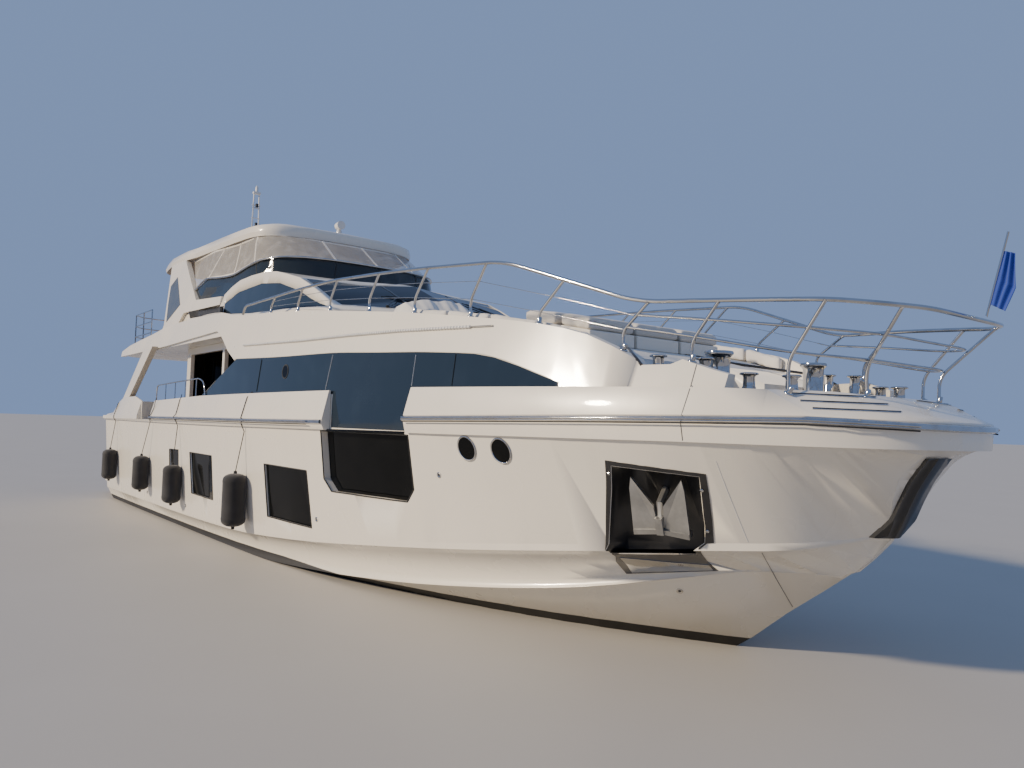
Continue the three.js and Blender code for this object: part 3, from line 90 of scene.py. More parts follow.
# %% Channel and Finish
class Channel:
    """A number that changes over a surface."""

    def __init__(self, finish, socket):
        self.finish, self.socket = finish, socket

    def _math(self, operation, *values):
        return self.finish.node("ShaderNodeMath", {"operation": operation}, dict(enumerate(values)))

    def __add__(self, other):
        return self._math("ADD", self, other)

    def __radd__(self, other):
        return self._math("ADD", other, self)

    def __sub__(self, other):
        return self._math("SUBTRACT", self, other)

    def __rsub__(self, other):
        return self._math("SUBTRACT", other, self)

    def __mul__(self, other):
        return self._math("MULTIPLY", self, other)

    def __truediv__(self, other):
        return self._math("DIVIDE", self, other)

    def fraction(self):
        return self._math("FRACT", self)

    def whole(self):
        return self._math("FLOOR", self)

    def size(self):
        return self._math("ABSOLUTE", self)

    def sine(self):
        return self._math("SINE", self)

    def between(self, low, high):
        """0 below low, 1 above high, smooth between."""
        return self.finish.node("ShaderNodeMapRange", {"interpolation_type": "SMOOTHSTEP"},
                                {"Value": self, "From Min": low, "From Max": high})


class Finish:
    """One procedural material and the nodes that make it."""

    def __init__(self, name, base, roughness, **constants):
        self.material = bpy.data.materials.new(name)
        self.material.use_nodes = True
        self.tree = self.material.node_tree
        self.tree.nodes.clear()
        self.shader = self.tree.nodes.new("ShaderNodeBsdfPrincipled")
        self.output = self.tree.nodes.new("ShaderNodeOutputMaterial")
        self.tree.links.new(self.shader.outputs[0], self.output.inputs["Surface"])
        self.set(**{"Base Color": (*base, 1), "Roughness": roughness}, **constants)

    def node(self, kind, settings=None, inputs=None, output=0):
        """Adds a node: its settings first, then the values or links of its sockets."""
        node = self.tree.nodes.new(kind)
        for name, value in (settings or {}).items():
            setattr(node, name, value)
        for key, value in (inputs or {}).items():
            socket = node.inputs[key] if isinstance(key, int) else next(
                s for s in node.inputs if s.name == key and s.enabled)
            self.feed(socket, value)
        return Channel(self, node.outputs[output])

    def feed(self, socket, value):
        if isinstance(value, Channel):
            self.tree.links.new(value.socket, socket)
        else:
            socket.default_value = value

    def set(self, **sockets):
        for name, value in sockets.items():
            self.feed(self.shader.inputs[name], value)
        return self

    def place(self):
        """The point on the piece, in metres: Object coordinates."""
        return self.node("ShaderNodeTexCoord", output="Object")

    def axes(self, where):
        """X, Y and Z of that point."""
        split = self.node("ShaderNodeSeparateXYZ", inputs={"Vector": where})
        return [Channel(self, split.socket.node.outputs[axis]) for axis in "XYZ"]

    def noise(self, where, scale, detail=3.0, stretch=(1, 1, 1)):
        mapped = self.node("ShaderNodeMapping", inputs={"Vector": where, "Scale": stretch})
        return self.node("ShaderNodeTexNoise", inputs={"Vector": mapped, "Scale": scale, "Detail": detail})

    def mix(self, factor, first, second):
        """Colour between first and second; either may be a plain (r, g, b)."""
        full = [(*c, 1) if isinstance(c, tuple) else c for c in (first, second)]
        return self.node("ShaderNodeMix", {"data_type": "RGBA"},
                         {"Factor": factor, "A": full[0], "B": full[1]}, output=2)

    def bump(self, height, strength, distance):
        return self.node("ShaderNodeBump",
                         inputs={"Height": height, "Strength": strength, "Distance": distance})


finishes = {}
print("shader helpers ready")

# %% [markdown]
# ## Gelcoat
# The hull and house are glass-fibre with a warm white, polished gel. Up close it has a faint orange peel,
# salt haze that dulls the gloss in patches, and slightly darker streaks that run down the sides. A noise
# stretched along Z makes the streaks.

# %% Warm white gelcoat
WHITE = (0.83, 0.775, 0.665)
WORN_WHITE = tuple(c * 0.93 for c in WHITE)
GEL_COAT = 0.5


def gelcoat(name):
    finish = Finish(name, WHITE, 0.3, **{"Coat Roughness": 0.06, "Specular IOR Level": 0.5})
    where = finish.place()
    haze = finish.noise(where, 0.9, 4).between(0.35, 0.75)
    streaks = finish.noise(where, 1.0, 3, (2.2, 2.2, 0.12)).between(0.5, 0.8)
    finish.set(**{
        "Base Color": finish.mix(streaks * 0.5 + haze * 0.25, WHITE, WORN_WHITE),
        "Roughness": 0.24 + haze * 0.1 + streaks * 0.05,
        "Coat Weight": GEL_COAT - haze * 0.15,
        "Normal": finish.bump(finish.noise(where, 55, 2), 0.02, 0.01),
    })
    return finish


finishes["gelcoat"] = gelcoat("warm_white_gelcoat")
print("gelcoat made")

# %% [markdown]
# The hull has the same gelcoat down to the black bottom paint, which ends a little above the waterline.
# Over that edge the side is stained. One material does both, so the edge is where Z passes a height, with a
# slight wobble as a brushed edge has.

# %% The hull's paint
# heights above the waterline
BOTTOM_PAINT_TOP = 0.14
STAIN_DEPTH = 0.35
STAIN = (0.50, 0.46, 0.36)
BOTTOM_BLACK = (0.012, 0.012, 0.013)


def hull_paint():
    finish = gelcoat("hull_paint")
    where = finish.place()
    height = finish.axes(where)[2]
    wobble = (finish.noise(where, 1.4, 3) - 0.5) * 0.012
    below = 1 - (height + wobble).between(BOTTOM_PAINT_TOP - 0.004, BOTTOM_PAINT_TOP + 0.004)
    stain = 1 - (height + wobble * 6).between(BOTTOM_PAINT_TOP, BOTTOM_PAINT_TOP + STAIN_DEPTH)
    gel = Channel(finish, finish.shader.inputs["Base Color"].links[0].from_socket)
    rough = Channel(finish, finish.shader.inputs["Roughness"].links[0].from_socket)
    weathered = finish.mix(stain * finish.noise(where, 5, 5) * 0.35, gel, STAIN)
    finish.set(**{
        "Base Color": finish.mix(below, weathered, BOTTOM_BLACK),
        "Roughness": rough + below * 0.3,
        "Coat Weight": (1 - below) * 0.4,
    })
    return finish


finishes["hull_paint"] = hull_paint()
print("hull paint made")

# %% [markdown]
# ## Metals, glass, teak and the rest
# Each finish says how the real surface is made: stainless is polished along the tube, teak is planks with
# black caulking, window glass is a dark tint that mostly shows the sky, and vinyl is clear with a slight
# ripple. The numbers are those of the shader: colours, and how far a noise moves the roughness or the bump.

# %% Polished stainless steel
def polished_steel():
    finish = Finish("polished_stainless", (0.50, 0.50, 0.49), 0.1, Metallic=1.0)
    where = finish.place()
    scratches = finish.noise(where, 90, 2, (1, 1, 8))
    smears = finish.noise(where, 6, 4).between(0.4, 0.75)
    finish.set(**{
        "Roughness": 0.06 + scratches * 0.05 + smears * 0.07,
        "Base Color": finish.mix(smears, (0.56, 0.555, 0.545), (0.46, 0.455, 0.445)),
        "Normal": finish.bump(scratches, 0.03, 0.002),
    })
    return finish

# %% Tinted window glass
def window_glass(name, tint, mirror=0.5):
    """mirror is how strongly the glass shows what is round it; it is low for panes that look black."""
    finish = Finish(name, tint, 0.04, **{"Specular IOR Level": mirror, "IOR": 1.5})
    where = finish.place()
    film = finish.noise(where, 1.6, 4).between(0.45, 0.8)
    finish.set(**{
        "Base Color": finish.mix(film * 0.5, tint, tuple(min(1, c * 1.35 + 0.004) for c in tint)),
        "Roughness": 0.04 + film * 0.05,
        "Normal": finish.bump(finish.noise(where, 1.2, 1), 0.04, 0.05),
    })
    return finish

# %% Laid teak with black caulking
PLANK_WIDTH = 0.052
ALONG_THE_PLANK = (0.08, 1, 1)


def laid_teak():
    """Planks that run fore and aft, side by side across Y."""
    finish = Finish("laid_teak", (0.42, 0.27, 0.15), 0.6)
    where = finish.place()
    plank = finish.axes(where)[1] / PLANK_WIDTH
    seam = (plank.fraction() - 0.5).size().between(0.42, 0.46)
    board = finish.node("ShaderNodeTexWhiteNoise", {"noise_dimensions": "1D"}, {"W": plank.whole()})
    grain = finish.noise(where, 30, 5, ALONG_THE_PLANK)
    wood = finish.mix(grain, (0.40, 0.26, 0.145), (0.55, 0.39, 0.24))
    wood = finish.mix(board * 0.5, wood, (0.47, 0.36, 0.25))
    finish.set(**{
        "Base Color": finish.mix(seam, wood, (0.015, 0.014, 0.013)),
        "Roughness": 0.55 + grain * 0.15 - seam * 0.1,
        "Normal": finish.bump(grain * 0.3 - seam, 0.3, 0.002),
    })
    return finish

# %% Moulded non-skid, clear vinyl and the tinted screen
# radians in a metre, which is a wave every 16 mm
BEAD_TURN = 400


def non_skid():
    finish = Finish("non_skid_deck", (0.70, 0.68, 0.63), 0.6)
    where = finish.place()
    x, y, _ = finish.axes(where)
    beads = ((x * BEAD_TURN).sine() * (y * BEAD_TURN).sine() * 0.5 + 0.5).between(0.3, 0.8)
    dirt = finish.noise(where, 3, 5).between(0.45, 0.8)
    finish.set(**{
        "Base Color": finish.mix(dirt * 0.5, (0.72, 0.70, 0.65), (0.56, 0.54, 0.49)),
        "Roughness": 0.55 + dirt * 0.15,
        "Normal": finish.bump(beads, 0.3, 0.001),
    })
    return finish


def clear_vinyl():
    finish = Finish("clear_vinyl", (0.74, 0.70, 0.62), 0.12, **{"Specular IOR Level": 0.5, "IOR": 1.45})
    where = finish.place()
    ripple = finish.noise(where, 1.8, 2, (1, 1, 0.35))
    haze = finish.noise(where, 4, 4).between(0.4, 0.8)
    finish.set(**{
        "Alpha": 0.24 + haze * 0.16,
        "Roughness": 0.1 + haze * 0.08,
        "Normal": finish.bump(ripple, 0.35, 0.05),
    })
    return finish


def tinted_pane():
    finish = Finish("tinted_pane", (0.02, 0.028, 0.034), 0.05, **{"IOR": 1.5})
    where = finish.place()
    film = finish.noise(where, 2, 3).between(0.4, 0.8)
    finish.set(**{"Alpha": 0.78 + film * 0.06, "Roughness": 0.04 + film * 0.04})
    return finish

# %% Paint, plastic, rubber and cast metal share one recipe
def speckled(name, dark, light, roughness, grain=60, metal=0.0, bump=0.1, depth=0.001, coat=0.0):
    finish = Finish(name, light, roughness, Metallic=metal, **{"Coat Weight": coat, "Coat Roughness": 0.1})
    where = finish.place()
    patches = finish.noise(where, 3.5, 5).between(0.35, 0.7)
    fine = finish.noise(where, grain, 3)
    finish.set(**{
        "Base Color": finish.mix(patches * 0.6 + fine * 0.4, dark, light),
        "Roughness": roughness - 0.08 + fine * 0.12 + patches * 0.06,
        "Normal": finish.bump(fine, bump, depth),
    })
    return finish

# %% Woven cloth, with the weave from two crossed waves
def woven(name, base, shade, thread=0.0016):
    finish = Finish(name, base, 0.85, **{"Sheen Weight": 0.25, "Sheen Roughness": 0.5})
    where = finish.place()
    x, y, z = finish.axes(where)
    turn = 2 * math.pi / thread
    weave = (((x + z * 0.5) * turn).sine() * ((y + z * 0.5) * turn).sine()) * 0.5 + 0.5
    fade = finish.noise(where, 2.5, 4).between(0.3, 0.75)
    finish.set(**{
        "Base Color": finish.mix(fade * 0.6, base, shade),
        "Roughness": 0.85 - fade * 0.08,
        "Normal": finish.bump(weave * 0.3 + finish.noise(where, 14, 4), 0.25, 0.004),
    })
    return finish

# %% Glass, deck and clear finishes
finishes.update({
    "steel": polished_steel(),
    "house_glass": window_glass("house_glass_tint", (0.016, 0.026, 0.040)),
    "hull_glass": window_glass("hull_glass_tint", (0.004, 0.0045, 0.005), 0.1),
    "windscreen": window_glass("windscreen_tint", (0.006, 0.010, 0.018), 0.08),
    "teak": laid_teak(),
    "non_skid": non_skid(),
    "vinyl": clear_vinyl(),
    "pane": tinted_pane(),
})
print(len(finishes), "finishes")

# %% Paints, metals and cloths
# name of the material, its darker colour, its lighter colour, roughness, and what differs from the recipe
SPECKLED = {
    "black": ("black_paint", (0.008, 0.008, 0.009), (0.02, 0.02, 0.022), 0.35, dict(coat=0.3)),
    "rubber": ("black_rubber", (0.010, 0.010, 0.011), (0.028, 0.027, 0.026), 0.6, dict(grain=140, bump=0.2)),
    "grey": ("grey_paint", (0.085, 0.088, 0.092), (0.13, 0.135, 0.14), 0.4, dict(coat=0.2)),
    "leg_grey": ("slate_panel", (0.052, 0.060, 0.068), (0.075, 0.084, 0.093), 0.3, dict(coat=0.4)),
    "galvanised": ("polished_cast_steel", (0.30, 0.30, 0.29), (0.50, 0.49, 0.47), 0.42,
                   dict(grain=30, metal=0.85, bump=0.3, depth=0.002)),
    "bronze": ("cast_bronze", (0.20, 0.12, 0.05), (0.45, 0.30, 0.13), 0.4,
               dict(grain=25, metal=1.0, bump=0.2, depth=0.002)),
    "engine": ("engine_paint", (0.16, 0.17, 0.18), (0.24, 0.25, 0.26), 0.5, {}),
    # painted shade: the hardtop's underside is made a darker taupe, standing for the shade that lies there
    "underside_shade": ("taupe_lining", (0.30, 0.26, 0.21), (0.38, 0.335, 0.275), 0.55, {}),
    "gear_floor": ("dark_deck_panel", (0.035, 0.036, 0.038), (0.06, 0.062, 0.065), 0.5,
                   dict(grain=120, bump=0.25)),
    "white": ("white_paint", (0.66, 0.65, 0.62), (0.76, 0.75, 0.72), 0.3, dict(coat=0.3)),
}
for key, (name, dark, light, roughness, differs) in SPECKLED.items():
    finishes[key] = speckled(name, dark, light, roughness, **differs)
finishes.update({
    "cover": woven("cover_canvas", (0.74, 0.71, 0.65), (0.60, 0.57, 0.51)),
    "cushion": woven("cushion_cloth", (0.66, 0.62, 0.55), (0.54, 0.50, 0.43)),
    "flag": woven("flag_bunting", (0.02, 0.06, 0.36), (0.015, 0.045, 0.28), 0.0012),
    "rope": woven("black_rope", (0.012, 0.012, 0.014), (0.03, 0.03, 0.034), 0.004),
})
print(len(finishes), "finishes")

# %% [markdown]
# ## Dressing the CAD nodes
# A CAD node comes in as loose triangles with flat shading. A copy is welded, its flat areas are merged into
# whole faces, and its soft edges are shaded smooth while its real corners stay sharp. A small bevel catches
# the light. The copy then stands for the node, on the same body.

# %% A dressed copy of a CAD node
WELD = 0.00005
FLAT_ANGLE = math.radians(0.15)
body_of = {node: body for body, nodes in frame["record"]["behaviour"]["bodies"].items() for node in nodes}


def link(name, mesh):
    piece = bpy.data.objects.new(name, mesh)
    bpy.context.scene.collection.objects.link(piece)
    return piece


def shade(mesh, angle):
    mesh.shade_smooth()
    mesh.set_sharp_from_angle(angle=math.radians(angle))


def welded(node):
    """The node's mesh as one closed skin with its flat areas whole."""
    skin = bmesh.new()
    skin.from_mesh(frame["nodes"][node].data)
    bmesh.ops.remove_doubles(skin, verts=skin.verts, dist=WELD)
    bmesh.ops.dissolve_limit(skin, angle_limit=FLAT_ANGLE, verts=skin.verts, edges=skin.edges)
    return skin


def bevelled(piece, width, angle=40):
    bevel = piece.modifiers.new("soft_edges", "BEVEL")
    bevel.width, bevel.segments = width, 2
    bevel.limit_method, bevel.angle_limit = "ANGLE", math.radians(angle)
    bevel.harden_normals = True
    bevel.use_clamp_overlap = True


def dressed(node, finish, angle, bevel):
    skin = welded(node)
    mesh = bpy.data.meshes.new("dressed_" + node)
    skin.to_mesh(mesh)
    skin.free()
    shade(mesh, angle)
    mesh.materials.clear()
    mesh.materials.append(finishes[finish].material)
    piece = link("dressed_" + node, mesh)
    if bevel:
        bevelled(piece, bevel)
    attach(piece, body_of[node])
    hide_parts(node)
    return piece


SIDES = ("port", "starboard")
# node: finish, smooth angle in degrees, bevel in metres
DRESSING = {
    "hull": ("hull_paint", 22, 0), "upper_house": ("gelcoat", 24, 0), "bow_bulwark": ("gelcoat", 24, 0),
    "upper_deck": ("gelcoat", 26, 0.012), "wheelhouse": ("gelcoat", 40, 0),
    "windscreen": ("windscreen", 30, 0),
    "fly_screen": ("pane", 40, 0), "hardtop": ("gelcoat", 32, 0), "bow_deck": ("gelcoat", 30, 0),
    "rub_rail_bow": ("steel", 40, 0), "stem_guard": ("black", 30, 0), "main_deck": ("teak", 30, 0),
    "saloon_aft": ("hull_glass", 30, 0), "fly_stair": ("gelcoat", 30, 0.01), "light_mast": ("white", 35, 0),
    "searchlight": ("white", 35, 0.004), "fly_helm": ("gelcoat", 30, 0.03), "fly_bar": ("gelcoat", 30, 0.02),
    "fly_rail": ("steel", 50, 0), "cockpit_table": ("teak", 30, 0.012), "jackstaff": ("steel", 50, 0),
    "swim_platform": ("teak", 30, 0.012), "garage_door": ("gelcoat", 30, 0.006),
    "fly_curtain": ("vinyl", 40, 0),
}
for side in SIDES:
    DRESSING.update({
        f"engine_{side}": ("engine", 30, 0.03), f"hull_window_{side}": ("hull_glass", 30, 0),
        f"bulwark_{side}": ("gelcoat", 26, 0), f"rub_rail_{side}": ("steel", 40, 0),
        f"house_glass_{side}": ("house_glass", 26, 0), f"saloon_side_{side}": ("gelcoat", 30, 0.01),
        f"saloon_door_{side}": ("hull_glass", 30, 0.006), f"wheelhouse_glass_{side}": ("house_glass", 26, 0),
        f"fly_side_{side}": ("gelcoat", 30, 0.012), f"anchor_{side}": ("galvanised", 30, 0.008),
        f"propeller_{side}": ("bronze", 40, 0), f"rudder_{side}": ("bronze", 30, 0.01),
        f"gate_{side}": ("gelcoat", 30, 0.01),
    })
dressing = {node: dressed(node, *how) for node, how in DRESSING.items()}
print(len(dressing), "CAD nodes dressed")

# %% [markdown]
# ## Helpers for the trim
# Trim is made of a few closed forms: a tube swept along a path, a turned form, and a skin over rings. One
# small class gathers such forms, each with its finish, and makes them one piece. Places along the yacht are
# given as "aft", the distance in metres aft of the tip of the bow rub rail, which is how the CAD tables
# give them.

# %% Places and paths
BOW_X = 13.39
PICTURE_SIZE = (1024, 768)


def at(aft, y, z):
    return Vector((BOW_X - aft, y, z))


def mirrored_path(path):
    return [Vector((p.x, -p.y, p.z)) for p in path]


def smooth_path(points, steps):
    """A Catmull-Rom curve through the points; its parameter follows the chords, so it doesn't loop."""
    points = [Vector(p) for p in points]
    ring = [points[0] * 2 - points[1]] + points + [points[-1] * 2 - points[-2]]
    path = []
    for i in range(1, len(ring) - 2):
        p0, p1, p2, p3 = ring[i - 1:i + 3]
        t0, t1, t2 = ((b - a).length ** 0.5 + 1e-9 for a, b in ((p0, p1), (p1, p2), (p2, p3)))
        m1 = ((p1 - p0) / t0 - (p2 - p0) / (t0 + t1) + (p2 - p1) / t1) * t1
        m2 = ((p2 - p1) / t1 - (p3 - p1) / (t1 + t2) + (p3 - p2) / t2) * t1
        for k in range(steps):
            t = k / steps
            path.append(p1 * (2 * t ** 3 - 3 * t ** 2 + 1) + m1 * (t ** 3 - 2 * t ** 2 + t)
                        + p2 * (3 * t ** 2 - 2 * t ** 3) + m2 * (t ** 3 - t ** 2))
    return path + [points[-1]]


def rounded_path(points, radius, steps):
    """The same polyline with its corners rounded, as a bent tube has them."""
    points = [Vector(p) for p in points]
    path = [points[0]]
    for before, corner, after in zip(points, points[1:], points[2:]):
        back, on = before - corner, after - corner
        reach = min(radius, back.length * 0.45, on.length * 0.45)
        start, end = corner + back.normalized() * reach, corner + on.normalized() * reach
        for k in range(steps + 1):
            t = k / steps
            path.append(start * (1 - t) ** 2 + corner * 2 * t * (1 - t) + end * t ** 2)
    return path + [points[-1]]


print("path helpers ready")

# %% Trim: closed forms gathered into one piece
SAME_POINT = 1e-6
THINNEST = 1e-4


def circle_turns(count):
    return [2 * math.pi * k / count for k in range(count)]


def across_from(way):
    """A direction square to this one."""
    aside = Z_AXIS if abs(way.z) < 0.9 else Vector((1, 0, 0))
    return way.cross(aside).normalized()


class Trim:
    """Closed forms, each with its finish, that become one piece."""

    def __init__(self):
        self.points, self.faces, self.finish_of, self.names = [], [], [], []

    def add(self, points, faces, finish):
        if finish not in self.names:
            self.names.append(finish)
        base = len(self.points)
        self.points += [Vector(p) for p in points]
        self.faces += [tuple(base + i for i in face) for face in faces]
        self.finish_of += [self.names.index(finish)] * len(faces)
        return self

    def skin(self, rings, finish, closed=False):
        """A skin over rings of points, with flat ends unless the rings close on themselves."""
        count = len(rings[0])
        faces = []
        for r in range(len(rings) - (0 if closed else 1)):
            a, b = r * count, (r + 1) % len(rings) * count
            faces += [(a + i, a + (i + 1) % count, b + (i + 1) % count, b + i) for i in range(count)]
        if not closed:
            last = (len(rings) - 1) * count
            faces += [tuple(reversed(range(count))), tuple(range(last, last + count))]
        return self.add([p for ring in rings for p in ring], faces, finish)

    def tube(self, path, radius, finish, sides, closed=False, flat=1.0):
        """A tube along a path.

        radius is one number or one for each point, and flat squeezes the tube along its second axis.
        """
        path = [Vector(p) for p in path]
        radii = radius if isinstance(radius, (list, tuple)) else [radius] * len(path)
        count = len(path)
        heading = []
        for i in range(count):
            before = path[i - 1] if i or closed else path[i]
            after = path[(i + 1) % count] if i + 1 < count or closed else path[i]
            heading.append((after - before).normalized())
        normal = across_from(heading[0])
        rings = []
        for point, way, size in zip(path, heading, radii):
            normal = (normal - way * normal.dot(way)).normalized()
            other = way.cross(normal)
            rings.append([point + normal * size * math.cos(turn) + other * size * flat * math.sin(turn)
                          for turn in circle_turns(sides)])
        return self.skin(rings, finish, closed)

    def turned(self, centre, axis, profile, finish, sides):
        """A turned form: profile gives (radius, distance along the axis) from end to end."""
        axis = Vector(axis).normalized()
        u = across_from(axis)
        v = axis.cross(u)
        rings = [[Vector(centre) + axis * along + (u * math.cos(turn) + v * math.sin(turn)) * max(r, THINNEST)
                  for turn in circle_turns(sides)] for r, along in profile]
        return self.skin(rings, finish)

    def box(self, low, high, finish):
        (x0, y0, z0), (x1, y1, z1) = low, high
        ring = [(x0, y0), (x1, y0), (x1, y1), (x0, y1)]
        return self.skin([[Vector((x, y, z)) for x, y in ring] for z in (z0, z1)], finish)

    def build(self, name, slot, stands_for=(), angle=35, bevel=0.0, bevel_angle=40):
        """Makes the piece, on the yacht's own body. stands_for names the CAD nodes that it replaces."""
        mesh = bpy.data.meshes.new(name)
        mesh.from_pydata([tuple(p) for p in self.points], [], self.faces)
        for used in self.names:
            mesh.materials.append(finishes[used].material)
        mesh.polygons.foreach_set("material_index", self.finish_of)
        form = bmesh.new()
        form.from_mesh(mesh)
        bmesh.ops.remove_doubles(form, verts=form.verts, dist=SAME_POINT)
        bmesh.ops.recalc_face_normals(form, faces=form.faces)
        form.to_mesh(mesh)
        form.free()
        shade(mesh, angle)
        piece = link(name, mesh)
        if bevel:
            bevelled(piece, bevel, bevel_angle)
        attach(piece, "yacht")
        if stands_for:
            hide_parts(*stands_for)
        return piece


print("trim helper ready")

# %% [markdown]
# ## Finding the skin
# Ports, plates and seams lie on curved sides. A ray cast at the CAD skin gives the point and the slope
# there, so trim that is placed by aft and height sits on the surface, wherever the hull flares. Where a
# joint or slot was read off the photograph instead, a ray from the camera finds its place on the starboard
# side, and the port side mirrors it.

# %% Rays onto the CAD skins
skins = {}
OUTBOARD = 6.0
OVERHEAD = 12.0
STRAIGHT_DOWN = Vector((0, 0, -1))


def skin_of(*nodes):
    """A tree for rays over the welded nodes."""
    if nodes not in skins:
        form = bmesh.new()
        for node in nodes:
            form.from_mesh(frame["nodes"][node].data)
        bmesh.ops.remove_doubles(form, verts=form.verts, dist=WELD)
        skins[nodes] = BVHTree.FromBMesh(form)
        form.free()
    return skins[nodes]


def ray_hit(start, way, nodes):
    point, normal, *_ = skin_of(*nodes).ray_cast(start, way)
    return point, normal


def on_side(aft, z, side, nodes=("hull",)):
    """The point of the skin seen from outboard at this place, and the way out of it; None if it misses."""
    return ray_hit(Vector((BOW_X - aft, side * OUTBOARD, z)), Vector((0, -side, 0)), nodes)


def on_top(x, y, nodes, height=OVERHEAD):
    """The point of the skin seen from this height, and the way out of it; None if it misses."""
    return ray_hit(Vector((x, y, height)), STRAIGHT_DOWN, nodes)


def seen_at(pixel, nodes):
    """The point of the skin that the camera sees at this pixel of the picture, and the way out of it."""
    wide, high = PICTURE_SIZE
    focal = LENS_MM / SENSOR_MM * wide
    way = forward * focal + right * (pixel[0] - wide / 2) + upward * (high / 2 - pixel[1])
    point, normal, *_ = skin_of(*nodes).ray_cast(EYE, way.normalized())
    if point is None:
        return None, None
    return point, normal if normal.dot(EYE - point) > 0 else -normal


def seen_line(pixels, nodes, lift, step):
    """A path over the skin under a line of the picture; stretches that miss the skin are left out."""
    path = []
    for start, end in zip(pixels, pixels[1:]):
        parts = max(1, math.ceil(math.dist(start, end) / step))
        for k in range(parts + (1 if end == pixels[-1] else 0)):
            spot = [a + (b - a) * k / parts for a, b in zip(start, end)]
            point, normal = seen_at(spot, nodes)
            if point is not None:
                path.append(point + normal * lift)
    return path


def both_sides(path):
    return path, mirrored_path(path)


def moved_to(side, path):
    """A starboard path, mirrored where side is 1, for port."""
    return mirrored_path(path) if side > 0 else path


def inside(outline, u, v):
    """Whether (u, v) is inside a closed outline."""
    hits = 0
    for (u0, v0), (u1, v1) in zip(outline, outline[1:] + outline[:1]):
        if (v0 > v) != (v1 > v) and u < u0 + (u1 - u0) * (v - v0) / (v1 - v0):
            hits += 1
    return hits % 2 == 1


def faces_to(piece, finish, chosen):
    """Gives another finish to the faces for which chosen(corners, normal) holds."""
    mesh = piece.data
    mesh.materials.append(finishes[finish].material)
    index = len(mesh.materials) - 1
    picked = 0
    for face in mesh.polygons:
        if chosen([mesh.vertices[i].co for i in face.vertices], face.normal):
            face.material_index = index
            picked += 1
    return picked


print("ray helpers ready")

# %% [markdown]
# ## Windows, ports and black panels of the hull
# The long windows are panes set into the side, so the floor of each CAD recess becomes dark glass, with a
# black gasket along its edge. Round ports are a pane in a turned steel ring. The black panel round the
# anchor follows the flare, so it is a sheet: its outline is filled with triangles, and each of their
# corners is cast onto the hull.

# %% Dark panes in the recesses
# outlines of the windows and of the anchor's pocket, as aft and height
SMALL_WINDOWS = [
    [(9.298, 1.831), (11.023, 1.847), (10.973, 0.888), (9.239, 0.877)],
    [(13.985, 1.851), (15.530, 1.857), (15.431, 0.936), (13.943, 0.916)],
    [(16.440, 1.872), (17.200, 1.862), (17.220, 0.930), (16.460, 0.940)],
]
TALL_WINDOW = [
    (8.690, 2.520), (6.268, 2.520), (6.314, 1.755), (6.510, 1.564), (8.500, 1.552), (8.719, 1.743),
]
ANCHOR_POCKET = [
    (2.945, 2.283), (2.010, 2.219), (2.139, 1.680), (2.202, 1.477), (2.380, 1.320), (3.337, 1.221),
    (3.265, 1.345),
]
OFF_CENTRE = 1.0


def scaled(outline, factor):
    middle = [sum(p[i] for p in outline) / len(outline) for i in (0, 1)]
    return [tuple(m + (v - m) * factor for v, m in zip(p, middle)) for p in outline]


def recess_faces(outline, facing=-1.0):
    """Chooses faces whose corners all lie within the outline and that face the side by more than facing."""
    return lambda corners, normal: abs(normal.y) > facing and all(
        abs(p.y) > OFF_CENTRE and inside(outline, BOW_X - p.x, p.z) for p in corners)


hull = dressing["hull"]
panes = []
for window in SMALL_WINDOWS:
    panes.append(faces_to(hull, "hull_glass", recess_faces(scaled(window, 1.02), 0.5)))
blacks = faces_to(hull, "black", recess_faces(scaled(ANCHOR_POCKET, 1.05)))
print("pane faces", panes, "pocket faces", blacks)

# %% A sheet that follows a skin
def subdivided(outline, step):
    """The outline with points no further apart than step."""
    points = []
    for (u0, v0), (u1, v1) in zip(outline, outline[1:] + outline[:1]):
        parts = max(1, math.ceil(math.hypot(u1 - u0, v1 - v0) / step))
        points += [(u0 + (u1 - u0) * k / parts, v0 + (v1 - v0) * k / parts) for k in range(parts)]
    return points


def flat_net(outline, holes, step):
    """Triangles that fill the outline, less its holes, and their corners."""
    def covered(u, v):
        return inside(outline, u, v) and not any(inside(hole, u, v) for hole in holes)

    loops = [subdivided(loop, step) for loop in (outline, *holes)]
    flat = [p for loop in loops for p in loop]
    edges, first = [], 0
    for loop in loops:
        edges += [(first + i, first + (i + 1) % len(loop)) for i in range(len(loop))]
        first += len(loop)
    us, vs = [p[0] for p in outline], [p[1] for p in outline]
    for i in range(1, math.ceil((max(us) - min(us)) / step)):
        for j in range(1, math.ceil((max(vs) - min(vs)) / step)):
            u, v = min(us) + i * step, min(vs) + j * step
            near = min(math.hypot(u - p[0], v - p[1]) for p in flat)
            if covered(u, v) and near > step * 0.4:
                flat.append((u, v))
    corners, _, faces, *_ = delaunay_2d_cdt([Vector(p) for p in flat], edges, [], 0, 1e-6)
    net = []
    for face in faces:
        u = sum(corners[i].x for i in face) / 3
        v = sum(corners[i].y for i in face) / 3
        if covered(u, v):
            net.append(tuple(face))
    return corners, net


